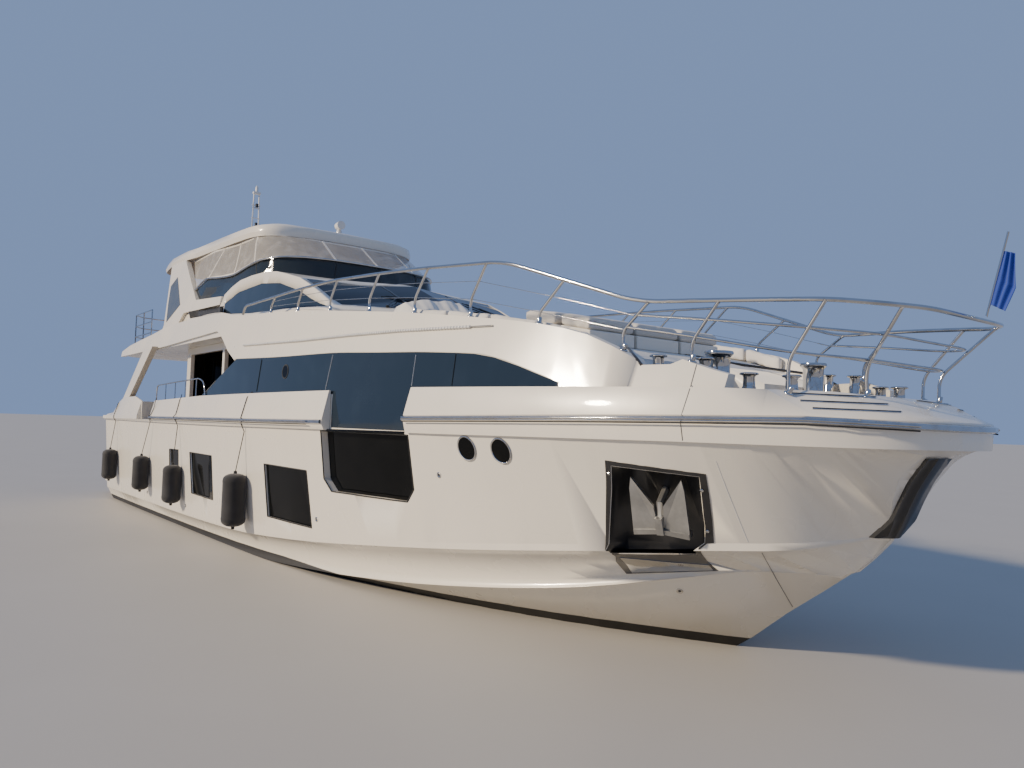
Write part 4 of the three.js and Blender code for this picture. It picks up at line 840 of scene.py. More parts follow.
def lay_sheet(trim, outline, finish, cast, thick, lift, step, holes=()):
    """Lays a sheet of this outline on a skin, at this lift above it.

    cast(u, v) gives the point of the skin and the way out of it, or None past its edge.
    """
    corners, net = flat_net(outline, holes, step)
    hits = [cast(p.x, p.y) for p in corners]
    kept = [face for face in net if all(hits[i][0] is not None for i in face)]
    used = sorted({i for face in kept for i in face})
    order = {i: k for k, i in enumerate(used)}
    low = [hits[i][0] + hits[i][1] * lift for i in used]
    high = [hits[i][0] + hits[i][1] * (lift + thick) for i in used]
    count = len(used)
    tops = [tuple(order[i] + count for i in face) for face in kept]
    bottoms = [tuple(reversed([order[i] for i in face])) for face in kept]
    directed = {(face[i], face[(i + 1) % 3]) for face in tops for i in range(3)}
    walls = [(a, a - count, b - count, b) for a, b in directed if (b, a) not in directed]
    return trim.add(low + high, tops + bottoms + walls, finish)


def side_cast(side, nodes=("hull",)):
    return lambda aft, z: on_side(aft, z, side, nodes)


print("sheet helper ready")

# %% Gaskets, ports, anchor panel, seams and through-hulls
# aft and height
BLACK_PANEL = [
    (3.000, 2.346), (1.924, 2.256), (2.109, 1.486), (2.179, 1.472), (2.454, 1.202), (2.537, 1.059),
    (3.555, 0.902), (3.459, 1.090), (3.337, 1.180), (3.300, 1.367),
]
PORTS = [(5.08, 2.39), (4.48, 2.385)]
PORT_RADIUS = 0.155
PORT_RING_RADIUS = 0.014
GASKET_RADIUS = 0.011
THROUGH_HULLS = [(9.05, 1.04), (5.72, 2.0), (3.05, 0.73), (12.6, 0.55), (15.9, 0.6), (19.4, 0.62)]
# radius, and distance out of the hull
THROUGH_HULL_RING = [(0.018, -0.01), (0.018, 0.004), (0.03, 0.01), (0.042, 0.006), (0.044, -0.01)]
# painted shade: a thin black disc in each ring stands for the shade inside the bore
THROUGH_HULL_BORE = [(0.0, 0.002), (0.019, 0.002), (0.019, -0.008), (0, -0.008)]
# lines of the picture: joints of the bow moulding, with their finish
HULL_SEAM_PIXELS = [
    ([(716, 461), (727, 490), (748, 542)], "white"), ([(762, 553), (778, 582), (795, 611)], "grey"),
]
# the tall window's glass runs on over the edge between hull and house
WINDOW_HEAD_PIXELS = [(327.5, 430.3), (366, 431.6), (404, 433.0)]
WINDOW_HEAD_NODES = ("hull", "upper_house", "house_glass_starboard")


def skin_line(points, side, lift=0.0):
    """A path over the hull through points of aft and height, at this lift above it."""
    path = []
    for (u0, v0), (u1, v1) in zip(points, points[1:]):
        parts = max(1, math.ceil(math.hypot(u1 - u0, v1 - v0) / 0.08))
        for k in range(parts + (1 if (u1, v1) == points[-1] else 0)):
            point, normal = on_side(u0 + (u1 - u0) * k / parts, v0 + (v1 - v0) * k / parts, side)
            if point is not None:
                path.append(point + normal * lift)
    return path


def hull_trim(side):
    trim = Trim()
    for outline in SMALL_WINDOWS + [TALL_WINDOW]:
        loop = scaled(outline, 1.006)
        trim.tube(skin_line(loop + loop[:1], side)[:-1], GASKET_RADIUS, "rubber", 8, closed=True)
    for aft, z in PORTS:
        circle = [(aft + PORT_RADIUS * math.cos(turn), z + PORT_RADIUS * math.sin(turn))
                  for turn in circle_turns(36)]
        lay_sheet(trim, circle, "hull_glass", side_cast(side), thick=0.005, lift=0.001, step=0.1)
        ring = skin_line(circle + circle[:1], side, 0.004)[:-1]
        trim.tube(ring, PORT_RING_RADIUS, "steel", 10, closed=True)
    lay_sheet(trim, BLACK_PANEL, "black", side_cast(side), thick=0.008, lift=0.001, step=0.12,
              holes=[scaled(ANCHOR_POCKET, 1.015)])
    for aft, z in THROUGH_HULLS:
        point, normal = on_side(aft, z, side)
        trim.turned(point, normal, THROUGH_HULL_RING, "steel", 20)
        # the black disc is painted shade in the bore
        trim.turned(point, normal, THROUGH_HULL_BORE, "black", 16)
    for seam, finish in HULL_SEAM_PIXELS:
        trim.tube(moved_to(side, seen_line(seam, ("hull",), -0.001, 5.0)), 0.005, finish, 6)
    head = seen_line(WINDOW_HEAD_PIXELS, WINDOW_HEAD_NODES, 0.0, 6.0)
    trim.tube(moved_to(side, head), 0.024, "hull_glass", 10)
    return trim


for side, name in ((1, "port"), (-1, "starboard")):
    piece = hull_trim(side).build(f"hull_trim_{name}", "grey_paint")
    print(piece.name, len(piece.data.polygons), "faces")

# %% [markdown]
# ## Bow rail
# The rail is stainless tube, bent on a former, so its corners are round. Each stanchion leans forward from
# a cast foot, bends a third of the way up and meets the top tube in a saddle. Thin wire lifelines run aft
# of the pulpit; in the pulpit the middle rails are tube too.

# %% The rail's lines
# aft, half and height along the top tube
BOW_RAIL_TOP = [
    (13.25, 2.89, 4.80), (12.99, 2.94, 5.01), (10.21, 2.92, 5.05), (8.97, 2.87, 5.055), (7.42, 2.78, 4.99),
    (6.45, 2.70, 4.94), (5.38, 2.60, 4.865), (4.65, 2.52, 4.815), (2.70, 2.08, 4.14), (1.60, 1.74, 4.09),
    (0.70, 1.52, 4.03), (0.35, 1.30, 3.985), (0.05, 0.85, 3.955), (-0.04, 0.45, 3.925),
]
# aft, half and height of each foot, and how far ahead its top is
STANCHIONS = [
    (11.66, 2.88, 4.79, 0.30), (10.42, 2.85, 4.69, 0.33), (9.16, 2.80, 4.58, 0.36), (7.89, 2.72, 4.465, 0.40),
    (6.65, 2.62, 4.33, 0.43), (5.42, 2.47, 4.17, 0.45), (4.18, 2.28, 3.94, 0.48), (2.97, 2.01, 3.69, 0.40),
    (2.14, 1.80, 3.465, 0.35), (1.18, 1.45, 3.17, 0.45), (0.70, 0.80, 3.13, 0.50),
]
# the first stanchion of the pulpit, and where along its height each one bends
PULPIT_FIRST = 7
BEND_SHARE = 0.33


def rail_at(aft):
    """The point of the top tube at this place."""
    afts, halves, heights = zip(*sorted(BOW_RAIL_TOP))
    return at(aft, float(np.interp(aft, afts, halves)), float(np.interp(aft, afts, heights)))


def stanchion_at(row, share):
    """The point at this share of a stanchion's height."""
    aft, half, z, ahead = row
    head = rail_at(aft - ahead)
    bend = at(aft, half + 0.01, z + (head.z - z) * BEND_SHARE)
    if share <= BEND_SHARE:
        return at(aft, half, z).lerp(bend, share / BEND_SHARE)
    return bend.lerp(head, (share - BEND_SHARE) / (1 - BEND_SHARE))


def across_bow(path):
    """A port path that ends at the bow, carried on over the starboard side."""
    return path + mirrored_path(path)[::-1]


print("rail", round(2 * max(row[1] for row in BOW_RAIL_TOP), 2), "m wide")

# %% Tubes, wires and feet
TOP_TUBE, MIDDLE_TUBE, POST_TUBE, WIRE = 0.025, 0.016, 0.0195, 0.0045
PULPIT_SHARES, WIRE_SHARES = (0.42, 0.7), (0.36, 0.68)
FOOT_NODES = ("upper_house", "bow_bulwark", "upper_deck")
# radius, and height above the deck
CAST_FOOT = [
    (0.0, -0.004), (0.05, -0.004), (0.05, 0.008), (0.046, 0.013), (0.03, 0.018), (0.026, 0.075),
    (0.0195, 0.085), (0.0, 0.085),
]


def lifeline(trim, to_side, share):
    """A wire aft of the pulpit, with the thicker fitting that holds its forward end."""
    wire = [stanchion_at(row, share) for row in STANCHIONS[:PULPIT_FIRST + 1]]
    trim.tube(to_side(wire), WIRE, "steel", 8)
    fitting = [wire[-1].lerp(wire[-2], along) for along in (0.02, 0.2)]
    trim.tube(to_side(fitting), 2 * WIRE, "steel", 8)


def stanchion(trim, to_side, row):
    """A bent post with its cast foot and the saddle that takes the top tube."""
    foot, bend, head = (stanchion_at(row, share) for share in (0, BEND_SHARE, 1))
    post = rounded_path([foot - Z_AXIS * 0.02, bend, head], 0.12, 5)
    trim.tube(to_side(post), POST_TUBE, "steel", 14)
    base, axis = on_top(foot.x, foot.y, FOOT_NODES)
    if base is None:
        base, axis = foot, Z_AXIS
    trim.turned(to_side([base])[0], to_side([axis])[0], CAST_FOOT, "steel", 24)
    saddle = head - (head - bend).normalized() * 0.03
    trim.tube(to_side([saddle, head]), [0.021, 0.028], "steel", 14)


def bow_rail():
    trim = Trim()
    top = across_bow([at(*row) for row in BOW_RAIL_TOP])
    trim.tube(rounded_path(top, 0.32, 7), TOP_TUBE, "steel", 16)
    for share in PULPIT_SHARES:
        rail = [stanchion_at(row, share) for row in STANCHIONS[PULPIT_FIRST:]]
        trim.tube(rounded_path(across_bow(rail), 0.3, 6), MIDDLE_TUBE, "steel", 12)
    for to_side in (list, mirrored_path):
        for share in WIRE_SHARES:
            lifeline(trim, to_side, share)
        for row in STANCHIONS:
            stanchion(trim, to_side, row)
    return trim


rail = bow_rail().build("bow_rail_tubes", "steel", ("bow_rail",), angle=50)
print("bow rail", len(rail.data.polygons), "faces")

# %% [markdown]
# ## Cushions
# A yacht's cushion is a foam block in a fitted cover with a welt round its top edge. Drawn as a box it
# looks hard, so each one starts a little small, is remeshed, and a short cloth simulation with air pressure
# swells it: the faces crown and the sides pull in between the corners. No point may move more than a cap,
# so a cushion keeps to its place.

# %% Lines of the deck, for things that stand on it
HALF_BEAM = 3.295
FULL_BEAM_AFT = 13.0
SOLE_Z, FLY_SOLE_Z = 2.05, 4.75
# aft and height of the foredeck
FOREDECK = [
    (2.75, 3.36), (3.4, 3.60), (4.1, 3.80), (4.9, 3.95), (5.6, 4.05), (6.3, 4.135), (7.0, 4.215),
    (7.7, 4.285), (8.5, 4.36), (9.3, 4.44),
]


def half_beam_at(aft):
    """Half the width of the deck, which is full from FULL_BEAM_AFT on."""
    return HALF_BEAM * (1 - (1 - min(aft, FULL_BEAM_AFT) / FULL_BEAM_AFT) ** 2.2) ** 0.364


def deck_z(aft):
    afts, heights = zip(*FOREDECK)
    return float(np.interp(aft, afts, heights))


def block_corners(aft0, aft1, y0, y1, low0, high0, low1, high1):
    """Eight corners: at aft0 between low0 and high0, at aft1 between low1 and high1."""
    ends = ((aft0, low0, high0), (aft1, low1, high1))
    return [[at(aft, y, z) for y, z in ((y0, low), (y1, low), (y1, high), (y0, high))]
            for aft, low, high in ends]


def over_deck(aft0, aft1, y0, y1, low, high, shorter=0.0, narrower=0.0):
    """A block from low to high above the foredeck, made shorter at each end and narrower at each side."""
    heights = [deck_z(aft) + rise for aft in (aft0, aft1) for rise in (low, high)]
    return block_corners(aft0 + shorter, aft1 - shorter, y0 + narrower, y1 - narrower, *heights)


print("foredeck from", deck_z(FOREDECK[0][0]), "to", deck_z(FOREDECK[-1][0]), "m high")

# %% Swell the cushions, all in one simulation
NET_SIZE = 0.034
INSET = 0.012
CORNER_ROUND = 0.02
# the cover's cloth, and how far a point of it may move
PRESSURE, MASS, STIFFNESS = 4.0, 0.3, 25
FRAMES = 20
SWELL_CAP = 0.022
cushions = []


def cushion(name, corners, finish="cushion", stands_for=(), cap=SWELL_CAP):
    """Notes a cushion between two four-cornered ends; they are all swelled together."""
    cushions.append({"name": name, "ends": corners, "finish": finish, "for": stands_for, "cap": cap})


def start_form(job):
    """The cushion's block, a little small, with rounded edges, as an even net of small faces."""
    trim = Trim().skin([[Vector(p) for p in end] for end in job["ends"]], job["finish"])
    middle = sum(trim.points, Vector()) / 8
    trim.points = [p + (middle - p).normalized() * INSET for p in trim.points]
    mesh = bpy.data.meshes.new(job["name"])
    mesh.from_pydata([tuple(p) for p in trim.points], [], trim.faces)
    form = bmesh.new()
    form.from_mesh(mesh)
    bmesh.ops.recalc_face_normals(form, faces=form.faces)
    bmesh.ops.bevel(form, geom=form.edges[:], offset=CORNER_ROUND, segments=2, profile=0.5, affect="EDGES",
                    clamp_overlap=True)
    form.to_mesh(mesh)
    form.free()
    piece = link(job["name"], mesh)
    remesh = piece.modifiers.new("even_net", "REMESH")
    remesh.mode, remesh.voxel_size = "VOXEL", NET_SIZE
    return piece


def baked(piece):
    """The piece with its modifiers applied to its mesh."""
    bpy.context.view_layer.update()
    evaluated = piece.evaluated_get(bpy.context.evaluated_depsgraph_get())
    mesh = bpy.data.meshes.new_from_object(evaluated)
    old = piece.data
    piece.modifiers.clear()
    piece.data = mesh
    bpy.data.meshes.remove(old)
    return piece


def coordinates(mesh):
    points = np.empty(len(mesh.vertices) * 3, dtype=np.float32)
    mesh.vertices.foreach_get("co", points)
    return points.reshape(-1, 3)


def swell(pieces, jobs):
    """Blows the covers up in one cloth simulation, and keeps each point within its cushion's cap."""
    scene = bpy.context.scene
    starts = [coordinates(piece.data).copy() for piece in pieces]
    for piece in pieces:
        cloth = piece.modifiers.new("swell", "CLOTH")
        cloth.settings.quality = 4
        cloth.settings.mass = MASS
        cloth.settings.use_pressure = True
        cloth.settings.uniform_pressure_force = PRESSURE
        cloth.settings.tension_stiffness = STIFFNESS
        cloth.settings.compression_stiffness = STIFFNESS
        cloth.settings.effector_weights.gravity = 0
        cloth.collision_settings.use_collision = False
        cloth.point_cache.frame_start, cloth.point_cache.frame_end = 1, FRAMES
    for number in range(1, FRAMES + 1):
        scene.frame_set(number)
    for piece, start, job in zip(pieces, starts, jobs):
        evaluated = piece.evaluated_get(bpy.context.evaluated_depsgraph_get())
        moved = coordinates(evaluated.to_mesh())
        step = moved - start
        length = np.linalg.norm(step, axis=1, keepdims=True)
        final = start + step * np.minimum(1, job["cap"] / np.maximum(length, 1e-9))
        evaluated.to_mesh_clear()
        piece.modifiers.clear()
        piece.data.vertices.foreach_set("co", final.astype(np.float32).ravel())
        piece.data.update()
    scene.frame_set(1)


WELT_RADIUS = 0.0045


def welt_of(job, piece):
    """The sewn welt round the cushion's upper edge, laid onto the swelled cover."""
    points = [vertex.co for vertex in piece.data.vertices]
    tree = BVHTree.FromPolygons(points, [face.vertices for face in piece.data.polygons])
    first, last = job["ends"]
    corners = [first[3], first[2], last[2], last[3]]
    middle = sum(corners, Vector()) / 4
    drawn_in = [p + (middle - p).normalized() * 0.02 for p in corners + corners[:2]]
    loop = rounded_path(drawn_in, 0.05, 4)[5:-5]
    path = []
    for start, end in zip(loop, loop[1:]):
        parts = max(1, round((end - start).length / 0.06))
        path += [start.lerp(end, k / parts) for k in range(parts)]
    path = [tree.find_nearest(p)[0] for p in path]
    return Trim().tube(path, WELT_RADIUS, job["finish"], 6, closed=True)


def finish_cushions():
    pieces = [baked(start_form(job)) for job in cushions]
    swell(pieces, cushions)
    for job, piece in zip(cushions, pieces):
        piece.data.materials.clear()
        piece.data.materials.append(finishes[job["finish"]].material)
        welt_of(job, piece).build(job["name"] + "_welt", "cushion_cloth", angle=60)
        smooth = piece.modifiers.new("fine", "SUBSURF")
        smooth.levels = smooth.render_levels = 1
        piece.data.shade_smooth()
        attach(piece, "yacht")
        if job["for"]:
            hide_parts(*job["for"])
    print(len(pieces), "cushions, simulated")


print("cushion maker ready")

# %% [markdown]
# ## Where the cushions lie
# The foredeck has a sunpad in three parts with a covered backrest on the starboard side, a sofa across the
# bow end and long rolls along both coamings. The flybridge and the cockpit have plain seats: a moulded
# base, a thick seat and a thinner back. Short tables give every block, so a place can be changed without
# touching the maker.

# %% Foredeck
SUNPAD = (7.17, 9.08)
SUNPAD_PARTS = [(-1.39, -0.475), (-0.46, 0.46), (0.475, 1.39)]
SUNPAD_LOW, SUNPAD_HIGH = 0.006, 0.125
# aft from, aft to, y from, y to
SOFA_SEATS = [
    (4.22, 4.84, -1.38, -0.475), (4.22, 4.84, -0.46, 0.46), (4.22, 4.84, 0.475, 1.38),
    (4.86, 5.58, 0.86, 1.43), (4.86, 5.58, -1.43, -0.86),
]
SEAT_LOW, SEAT_HIGH = 0.2, 0.345
# aft from, aft to; then how far the rolls stand in from the side, and their section
ROLLS = [(3.55, 4.28), (4.30, 5.16), (5.18, 6.04), (6.06, 6.92)]
ROLL_INBOARD, ROLL_WIDTH, ROLL_LOW, ROLL_HIGH = 0.497, 0.13, 0.008, 0.222
ROLL_CAP = 0.014


def roll_end(aft, side):
    outer = (half_beam_at(aft) - ROLL_INBOARD) * side
    inner = outer - ROLL_WIDTH * side
    low, high = deck_z(aft) + ROLL_LOW, deck_z(aft) + ROLL_HIGH
    return [at(aft, inner, low), at(aft, outer, low), at(aft, outer, high), at(aft, inner, high)]


for i, across in enumerate(SUNPAD_PARTS):
    stands_for = ("foredeck_sunpad",) if i == 0 else ()
    cushion(f"sunpad_{i + 1}", over_deck(*SUNPAD, *across, SUNPAD_LOW, SUNPAD_HIGH), stands_for=stands_for)
for i, seat in enumerate(SOFA_SEATS):
    stands_for = ("foredeck_sofa",) if i == 0 else ()
    cushion(f"bow_sofa_{i + 1}", over_deck(*seat, SEAT_LOW, SEAT_HIGH), stands_for=stands_for)
for side, name in ((1, "port"), (-1, "starboard")):
    for i, stretch in enumerate(ROLLS):
        ends = [roll_end(aft, side) for aft in stretch]
        cushion(f"coaming_roll_{name}_{i + 1}", ends, finish="cover", cap=ROLL_CAP)
print(len(cushions), "cushions on the foredeck")

# %% Flybridge and cockpit seats
# piece, node, aft from, aft to, y from, y to, deck, bottom and top above it, whether it is a cushion
SEATS = [
    ("helm_seat", "fly_helm_seat", 15.07, 15.58, -1.38, -0.61, FLY_SOLE_Z, 0.38, 0.51, True),
    ("helm_seat", "fly_helm_seat", 15.07, 15.58, -0.59, 0.18, FLY_SOLE_Z, 0.38, 0.51, True),
    ("helm_seat", "fly_helm_seat", 15.61, 15.73, -1.38, -0.61, FLY_SOLE_Z, 0.50, 1.03, True),
    ("helm_seat", "fly_helm_seat", 15.61, 15.73, -0.59, 0.18, FLY_SOLE_Z, 0.50, 1.03, True),
    ("helm_seat", "fly_helm_seat", 15.10, 15.78, -1.36, 0.16, FLY_SOLE_Z, 0.004, 0.37, False),
    ("fly_sofa", "fly_sofa", 16.92, 17.74, -2.18, -1.72, FLY_SOLE_Z, 0.30, 0.445, True),
    ("fly_sofa", "fly_sofa", 17.76, 18.58, -2.18, -1.72, FLY_SOLE_Z, 0.30, 0.445, True),
    ("fly_sofa", "fly_sofa", 16.32, 16.90, -2.18, -1.46, FLY_SOLE_Z, 0.30, 0.445, True),
    ("fly_sofa", "fly_sofa", 16.32, 16.90, -1.44, -0.72, FLY_SOLE_Z, 0.30, 0.445, True),
    ("fly_sofa", "fly_sofa", 16.32, 17.44, -2.36, -2.22, FLY_SOLE_Z, 0.30, 0.84, True),
    ("fly_sofa", "fly_sofa", 17.46, 18.58, -2.36, -2.22, FLY_SOLE_Z, 0.30, 0.84, True),
    ("fly_sofa", "fly_sofa", 16.36, 18.56, -2.36, -1.74, FLY_SOLE_Z, 0.004, 0.29, False),
    ("fly_sofa", "fly_sofa", 16.36, 16.88, -1.735, -0.74, FLY_SOLE_Z, 0.004, 0.29, False),
    ("lounger", "fly_lounger", 21.98, 23.22, -1.48, -0.51, FLY_SOLE_Z, 0.19, 0.325, True),
    ("lounger", "fly_lounger", 21.98, 23.22, -0.49, 0.49, FLY_SOLE_Z, 0.19, 0.325, True),
    ("lounger", "fly_lounger", 21.98, 23.22, 0.51, 1.48, FLY_SOLE_Z, 0.19, 0.325, True),
    ("lounger", "fly_lounger", 21.74, 21.9, -1.48, -0.01, FLY_SOLE_Z, 0.20, 0.61, True),
    ("lounger", "fly_lounger", 21.74, 21.9, 0.01, 1.48, FLY_SOLE_Z, 0.20, 0.61, True),
    ("lounger", "fly_lounger", 21.76, 23.2, -1.46, 1.46, FLY_SOLE_Z, 0.004, 0.18, False),
    ("cockpit_seat", "cockpit_sofa", 23.47, 24.06, -1.58, -0.01, SOLE_Z, 0.28, 0.425, True),
    ("cockpit_seat", "cockpit_sofa", 23.47, 24.06, 0.01, 1.58, SOLE_Z, 0.28, 0.425, True),
    ("cockpit_seat", "cockpit_sofa", 24.12, 24.27, -1.58, -0.01, SOLE_Z, 0.40, 0.84, True),
    ("cockpit_seat", "cockpit_sofa", 24.12, 24.27, 0.01, 1.58, SOLE_Z, 0.40, 0.84, True),
    ("cockpit_seat", "cockpit_sofa", 23.5, 24.27, -1.56, 1.56, SOLE_Z, 0.004, 0.27, False),
]
bases = {}
for i, (name, node, a0, a1, y0, y1, sole, low, high, soft) in enumerate(SEATS):
    low, high = sole + low, sole + high
    if soft:
        cushion(f"{name}_cushion_{i + 1}", block_corners(a0, a1, y0, y1, low, high, low, high))
    else:
        base = bases.setdefault(name, ((node,), Trim()))[1]
        base.box((BOW_X - a1, y0, low), (BOW_X - a0, y1, high), "gelcoat")
sofa_base = Trim()
for seat in SOFA_SEATS:
    sofa_base.skin(over_deck(*seat, 0.004, 0.19, shorter=0.01, narrower=0.02), "gelcoat")
bases["bow_sofa"] = ((), sofa_base)
for name, (nodes, base) in bases.items():
    base.build(name + "_base", "gelcoat", nodes, bevel=0.02, bevel_angle=30)
finish_cushions()

# %% [markdown]
# ## The covered backrest
# On the starboard side of the sunpad a backrest stands up under a loose canvas cover. The cover hangs from
# the ridge, so its folds run down from there. It is one closed skin over a few measured cross-sections,
# with the folds laid on as small moves that fade out at the foot.

# %% Canvas cover
# y, then the heights of the front edge, the ridge and the back edge
BACKREST = [
    (-1.64, 4.56, 4.68, 4.65), (-1.56, 4.66, 4.84, 4.80), (-1.40, 4.70, 4.905, 4.87),
    (-0.90, 4.72, 4.95, 4.93), (-0.40, 4.72, 4.985, 4.96),
    (-0.27, 4.66, 4.90, 4.86), (-0.21, 4.54, 4.70, 4.66),
]
# aft of the front foot, the front edge, the ridge, the back edge and the back foot
COVER_AFT = (8.34, 8.42, 8.78, 9.08, 9.11)
FOOT_LIFT = 0.004
FOLD_DROP = 0.012
SLICES, STEPS = 90, 10
# the folds start at this height and are full this far above it
FOLDS_FROM, FOLDS_FADE = 4.42, 0.12
# how deep the ridge is drawn down between its three bows
RIDGE_PULL = 0.02


def fold_at(p):
    """How far the cloth stands out at a point: three waves that run mostly down it."""
    return (0.006 * math.sin(p.y * 13 + 2.6 * math.sin(p.x * 4 + p.y))
            + 0.003 * math.sin(p.y * 37 + p.z * 9 + p.x * 13)
            + 0.005 * math.sin(p.y * 5.3 + p.x * 7))


def cover():
    rows = np.array(BACKREST)
    ys = np.linspace(rows[0, 0], rows[-1, 0], SLICES)
    rings = []
    for y in ys:
        edges = [float(np.interp(y, rows[:, 0], rows[:, i])) for i in (1, 2, 3)]
        feet = [deck_z(aft) + FOOT_LIFT for aft in (COVER_AFT[0], COVER_AFT[-1])]
        profile = [at(aft, y, z) for aft, z in zip(COVER_AFT, (feet[0], *edges, feet[1]))]
        ring = []
        for start, end in zip(profile, profile[1:]):
            ring += [start.lerp(end, k / STEPS) for k in range(STEPS)]
        ring.append(profile[-1])
        pull = RIDGE_PULL * math.sin(math.pi * (y - ys[0]) / (ys[-1] - ys[0]) * 3) ** 2
        moved = []
        for p in ring:
            fold = fold_at(p)
            hang = min(1, max(0, (p.z - FOLDS_FROM) / FOLDS_FADE))
            move = Vector((fold * 0.8, fold * 0.3, fold - FOLD_DROP - pull))
            moved.append(p + move * hang)
        rings.append(moved)
    return Trim().skin(rings, "cover")


backrest = cover().build("backrest_cover", "cushion_cloth", angle=60)
smooth = backrest.modifiers.new("fine", "SUBSURF")
smooth.levels = smooth.render_levels = 1
print("cover", len(backrest.data.polygons), "faces")

# %% [markdown]
# ## Flybridge: curtains, screen and hardtop
# The clear curtains are sewn panels: a white web runs down every seam and along the top, and a steel tube
# follows the upper edge of the tinted screen below them. Webs and frame bands are thin strips that hug a
# skin, so each point of a strip is moved to the nearest point of that skin first.

# %% Strips that hug a skin
# a point inside the flybridge, so that the outer face of a skin is the one away from it
INBOARD = Vector((BOW_X - 16.5, 0, 6.0))
BAND_LIFT = 0.0015


def hugging(points, nodes):
    """Points along the polyline, each moved to the nearest point of the skin, with the way out of it."""
    tree = skin_of(*nodes)
    found = []
    for start, end in zip(points, points[1:]):
        parts = max(1, math.ceil((end - start).length / 0.12))
        last = end == points[-1]
        for k in range(parts + (1 if last else 0)):
            point, normal, *_ = tree.find_nearest(start.lerp(end, k / parts))
            found.append((point, normal))
    return found


def band(trim, points, width, finish, nodes, thick):
    """A flat strip of this width on the outer face of the nodes."""
    found = hugging(points, nodes)
    rings = []
    for i, (point, normal) in enumerate(found):
        if normal.dot(INBOARD - point) > 0:
            normal = -normal
        before, after = found[max(i - 1, 0)][0], found[min(i + 1, len(found) - 1)][0]
        if (after - before).length < SAME_POINT:
            continue
        across = (after - before).normalized().cross(normal).normalized() * (width / 2)
        low, high = point + normal * BAND_LIFT, point + normal * (BAND_LIFT + thick)
        rings.append([low - across, low + across, high + across * 0.9, high - across * 0.9])
    return trim.skin(rings, finish)


print("strip helper ready")

# %% Curtain webs, screen tube and screen joints
# foot and head of each seam, as aft, y and height
SIDE_SEAMS = [
    ((14.57, 2.23, 6.24), (15.0, 1.95, 6.96)), ((15.70, 2.30, 6.11), (15.9, 2.05, 6.97)),
    ((17.37, 2.39, 6.24), (16.9, 2.1, 6.99)),
]
FRONT_SEAMS = [
    ((13.22, -0.82, 6.32), (14.58, -0.75, 6.94)), ((13.18, 0.23, 6.32), (14.56, 0.22, 6.94)),
    ((13.27, 1.28, 6.32), (14.62, 1.2, 6.94)),
]
# the screen's upper edge and the curtain's hem on the port side, from aft to the centreline
SCREEN_TOP = [
    (18.27, 2.425, 6.015), (17.43, 2.405, 6.20), (16.5, 2.36, 6.13), (15.67, 2.30, 6.10), (14.90, 2.26, 6.19),
    (14.20, 2.20, 6.26), (13.72, 1.99, 6.29), (13.39, 1.64, 6.30), (13.21, 1.00, 6.31), (13.15, 0.0, 6.31),
]
CURTAIN_HEM = [
    (19.60, 2.12), (17.60, 2.12), (16.15, 2.08), (15.50, 2.04), (15.05, 1.93), (14.80, 1.65), (14.68, 1.30),
    (14.60, 0.80), (14.56, 0.0),
]
# heads of the dark joints in the screen
SCREEN_JOINTS = [
    (14.45, 2.225, 6.24), (14.45, -2.225, 6.24), (13.24, -0.82, 6.31), (13.2, 0.23, 6.31),
    (13.29, 1.28, 6.31),
]
WEB_WIDTH, HEM_WIDTH, EDGE_WIDTH, JOINT_WIDTH = 0.055, 0.07, 0.05, 0.022
CURTAIN_THICK, JOINT_THICK = 0.005, 0.004
SCREEN_TUBE = 0.021


def hardtop_under(aft):
    """The height of the hardtop's underside, which rises a little towards its after edge."""
    return 6.95 + (aft - 14.0) * 0.018


def all_round(rows):
    """Rows on the port side, from aft to the centreline, carried round to the starboard side."""
    port = [at(*row) for row in rows]
    return port + mirrored_path(port[:-1])[::-1]


def level_way_out(point):
    return Vector((point.x - INBOARD.x, point.y, 0)).normalized()


def curtain_trim():
    trim = Trim()
    seams = [[at(a, y * side, z) for a, y, z in seam] for seam in SIDE_SEAMS for side in (1, -1)]
    seams += [[at(*point) for point in seam] for seam in FRONT_SEAMS]
    strips = [(seam, WEB_WIDTH) for seam in seams]
    strips.append((all_round([(a, y, hardtop_under(a) - 0.045) for a, y in CURTAIN_HEM]), HEM_WIDTH))
    strips.append((all_round([(a, y, z + 0.045) for a, y, z in SCREEN_TOP]), EDGE_WIDTH))
    for points, width in strips:
        band(trim, points, width, "cover", ("fly_curtain",), CURTAIN_THICK)
    return trim


def screen_trim():
    trim = Trim()
    top = [p + level_way_out(p) * 0.034 + Z_AXIS * 0.004 for p in all_round(SCREEN_TOP)]
    trim.tube(smooth_path(top, 5), SCREEN_TUBE, "steel", 12)
    for joint in SCREEN_JOINTS:
        head = at(*joint)
        foot = head + level_way_out(head) * 0.35 - Z_AXIS * 0.42
        band(trim, [head, foot], JOINT_WIDTH, "rubber", ("fly_screen",), JOINT_THICK)
    return trim


webs = curtain_trim().build("curtain_webs", "cushion_cloth")
tube = screen_trim().build("screen_tube", "steel")
for piece in (webs, tube):
    print(piece.name, len(piece.data.polygons), "faces")

# %% Painted shade and lamps under the hardtop, grey panel and painted shade in the recess on its legs
# aft and height of the grey panel
LEG_PANEL = [(20.20, 6.62), (19.28, 5.72), (20.34, 5.32), (20.60, 5.90), (20.74, 6.42)]
# the edges of the recess ahead of the leg, as lines of the picture
# a black slab between these lines is painted shade, standing for the shade in the recess
RECESS_LOWER_PIXELS = [(190.2, 318.4), (228.0, 311.6)]
RECESS_UPPER_PIXELS = [(188.6, 311.6), (226.0, 305.6)]
RECESS_NODES = ("fly_side_starboard", "upper_house", "upper_deck", "wheelhouse")
RECESS_DEPTH = Vector((0, 0.02, 0))
LAMP_AFTS, LAMP_HALF = (15.6, 16.9, 18.2, 19.5, 20.8), 1.2
# radius, and distance below the hardtop
ROOF_LAMP = [(0, -0.02), (0.05, -0.02), (0.052, 0.002), (0.045, 0.008), (0, 0.006)]


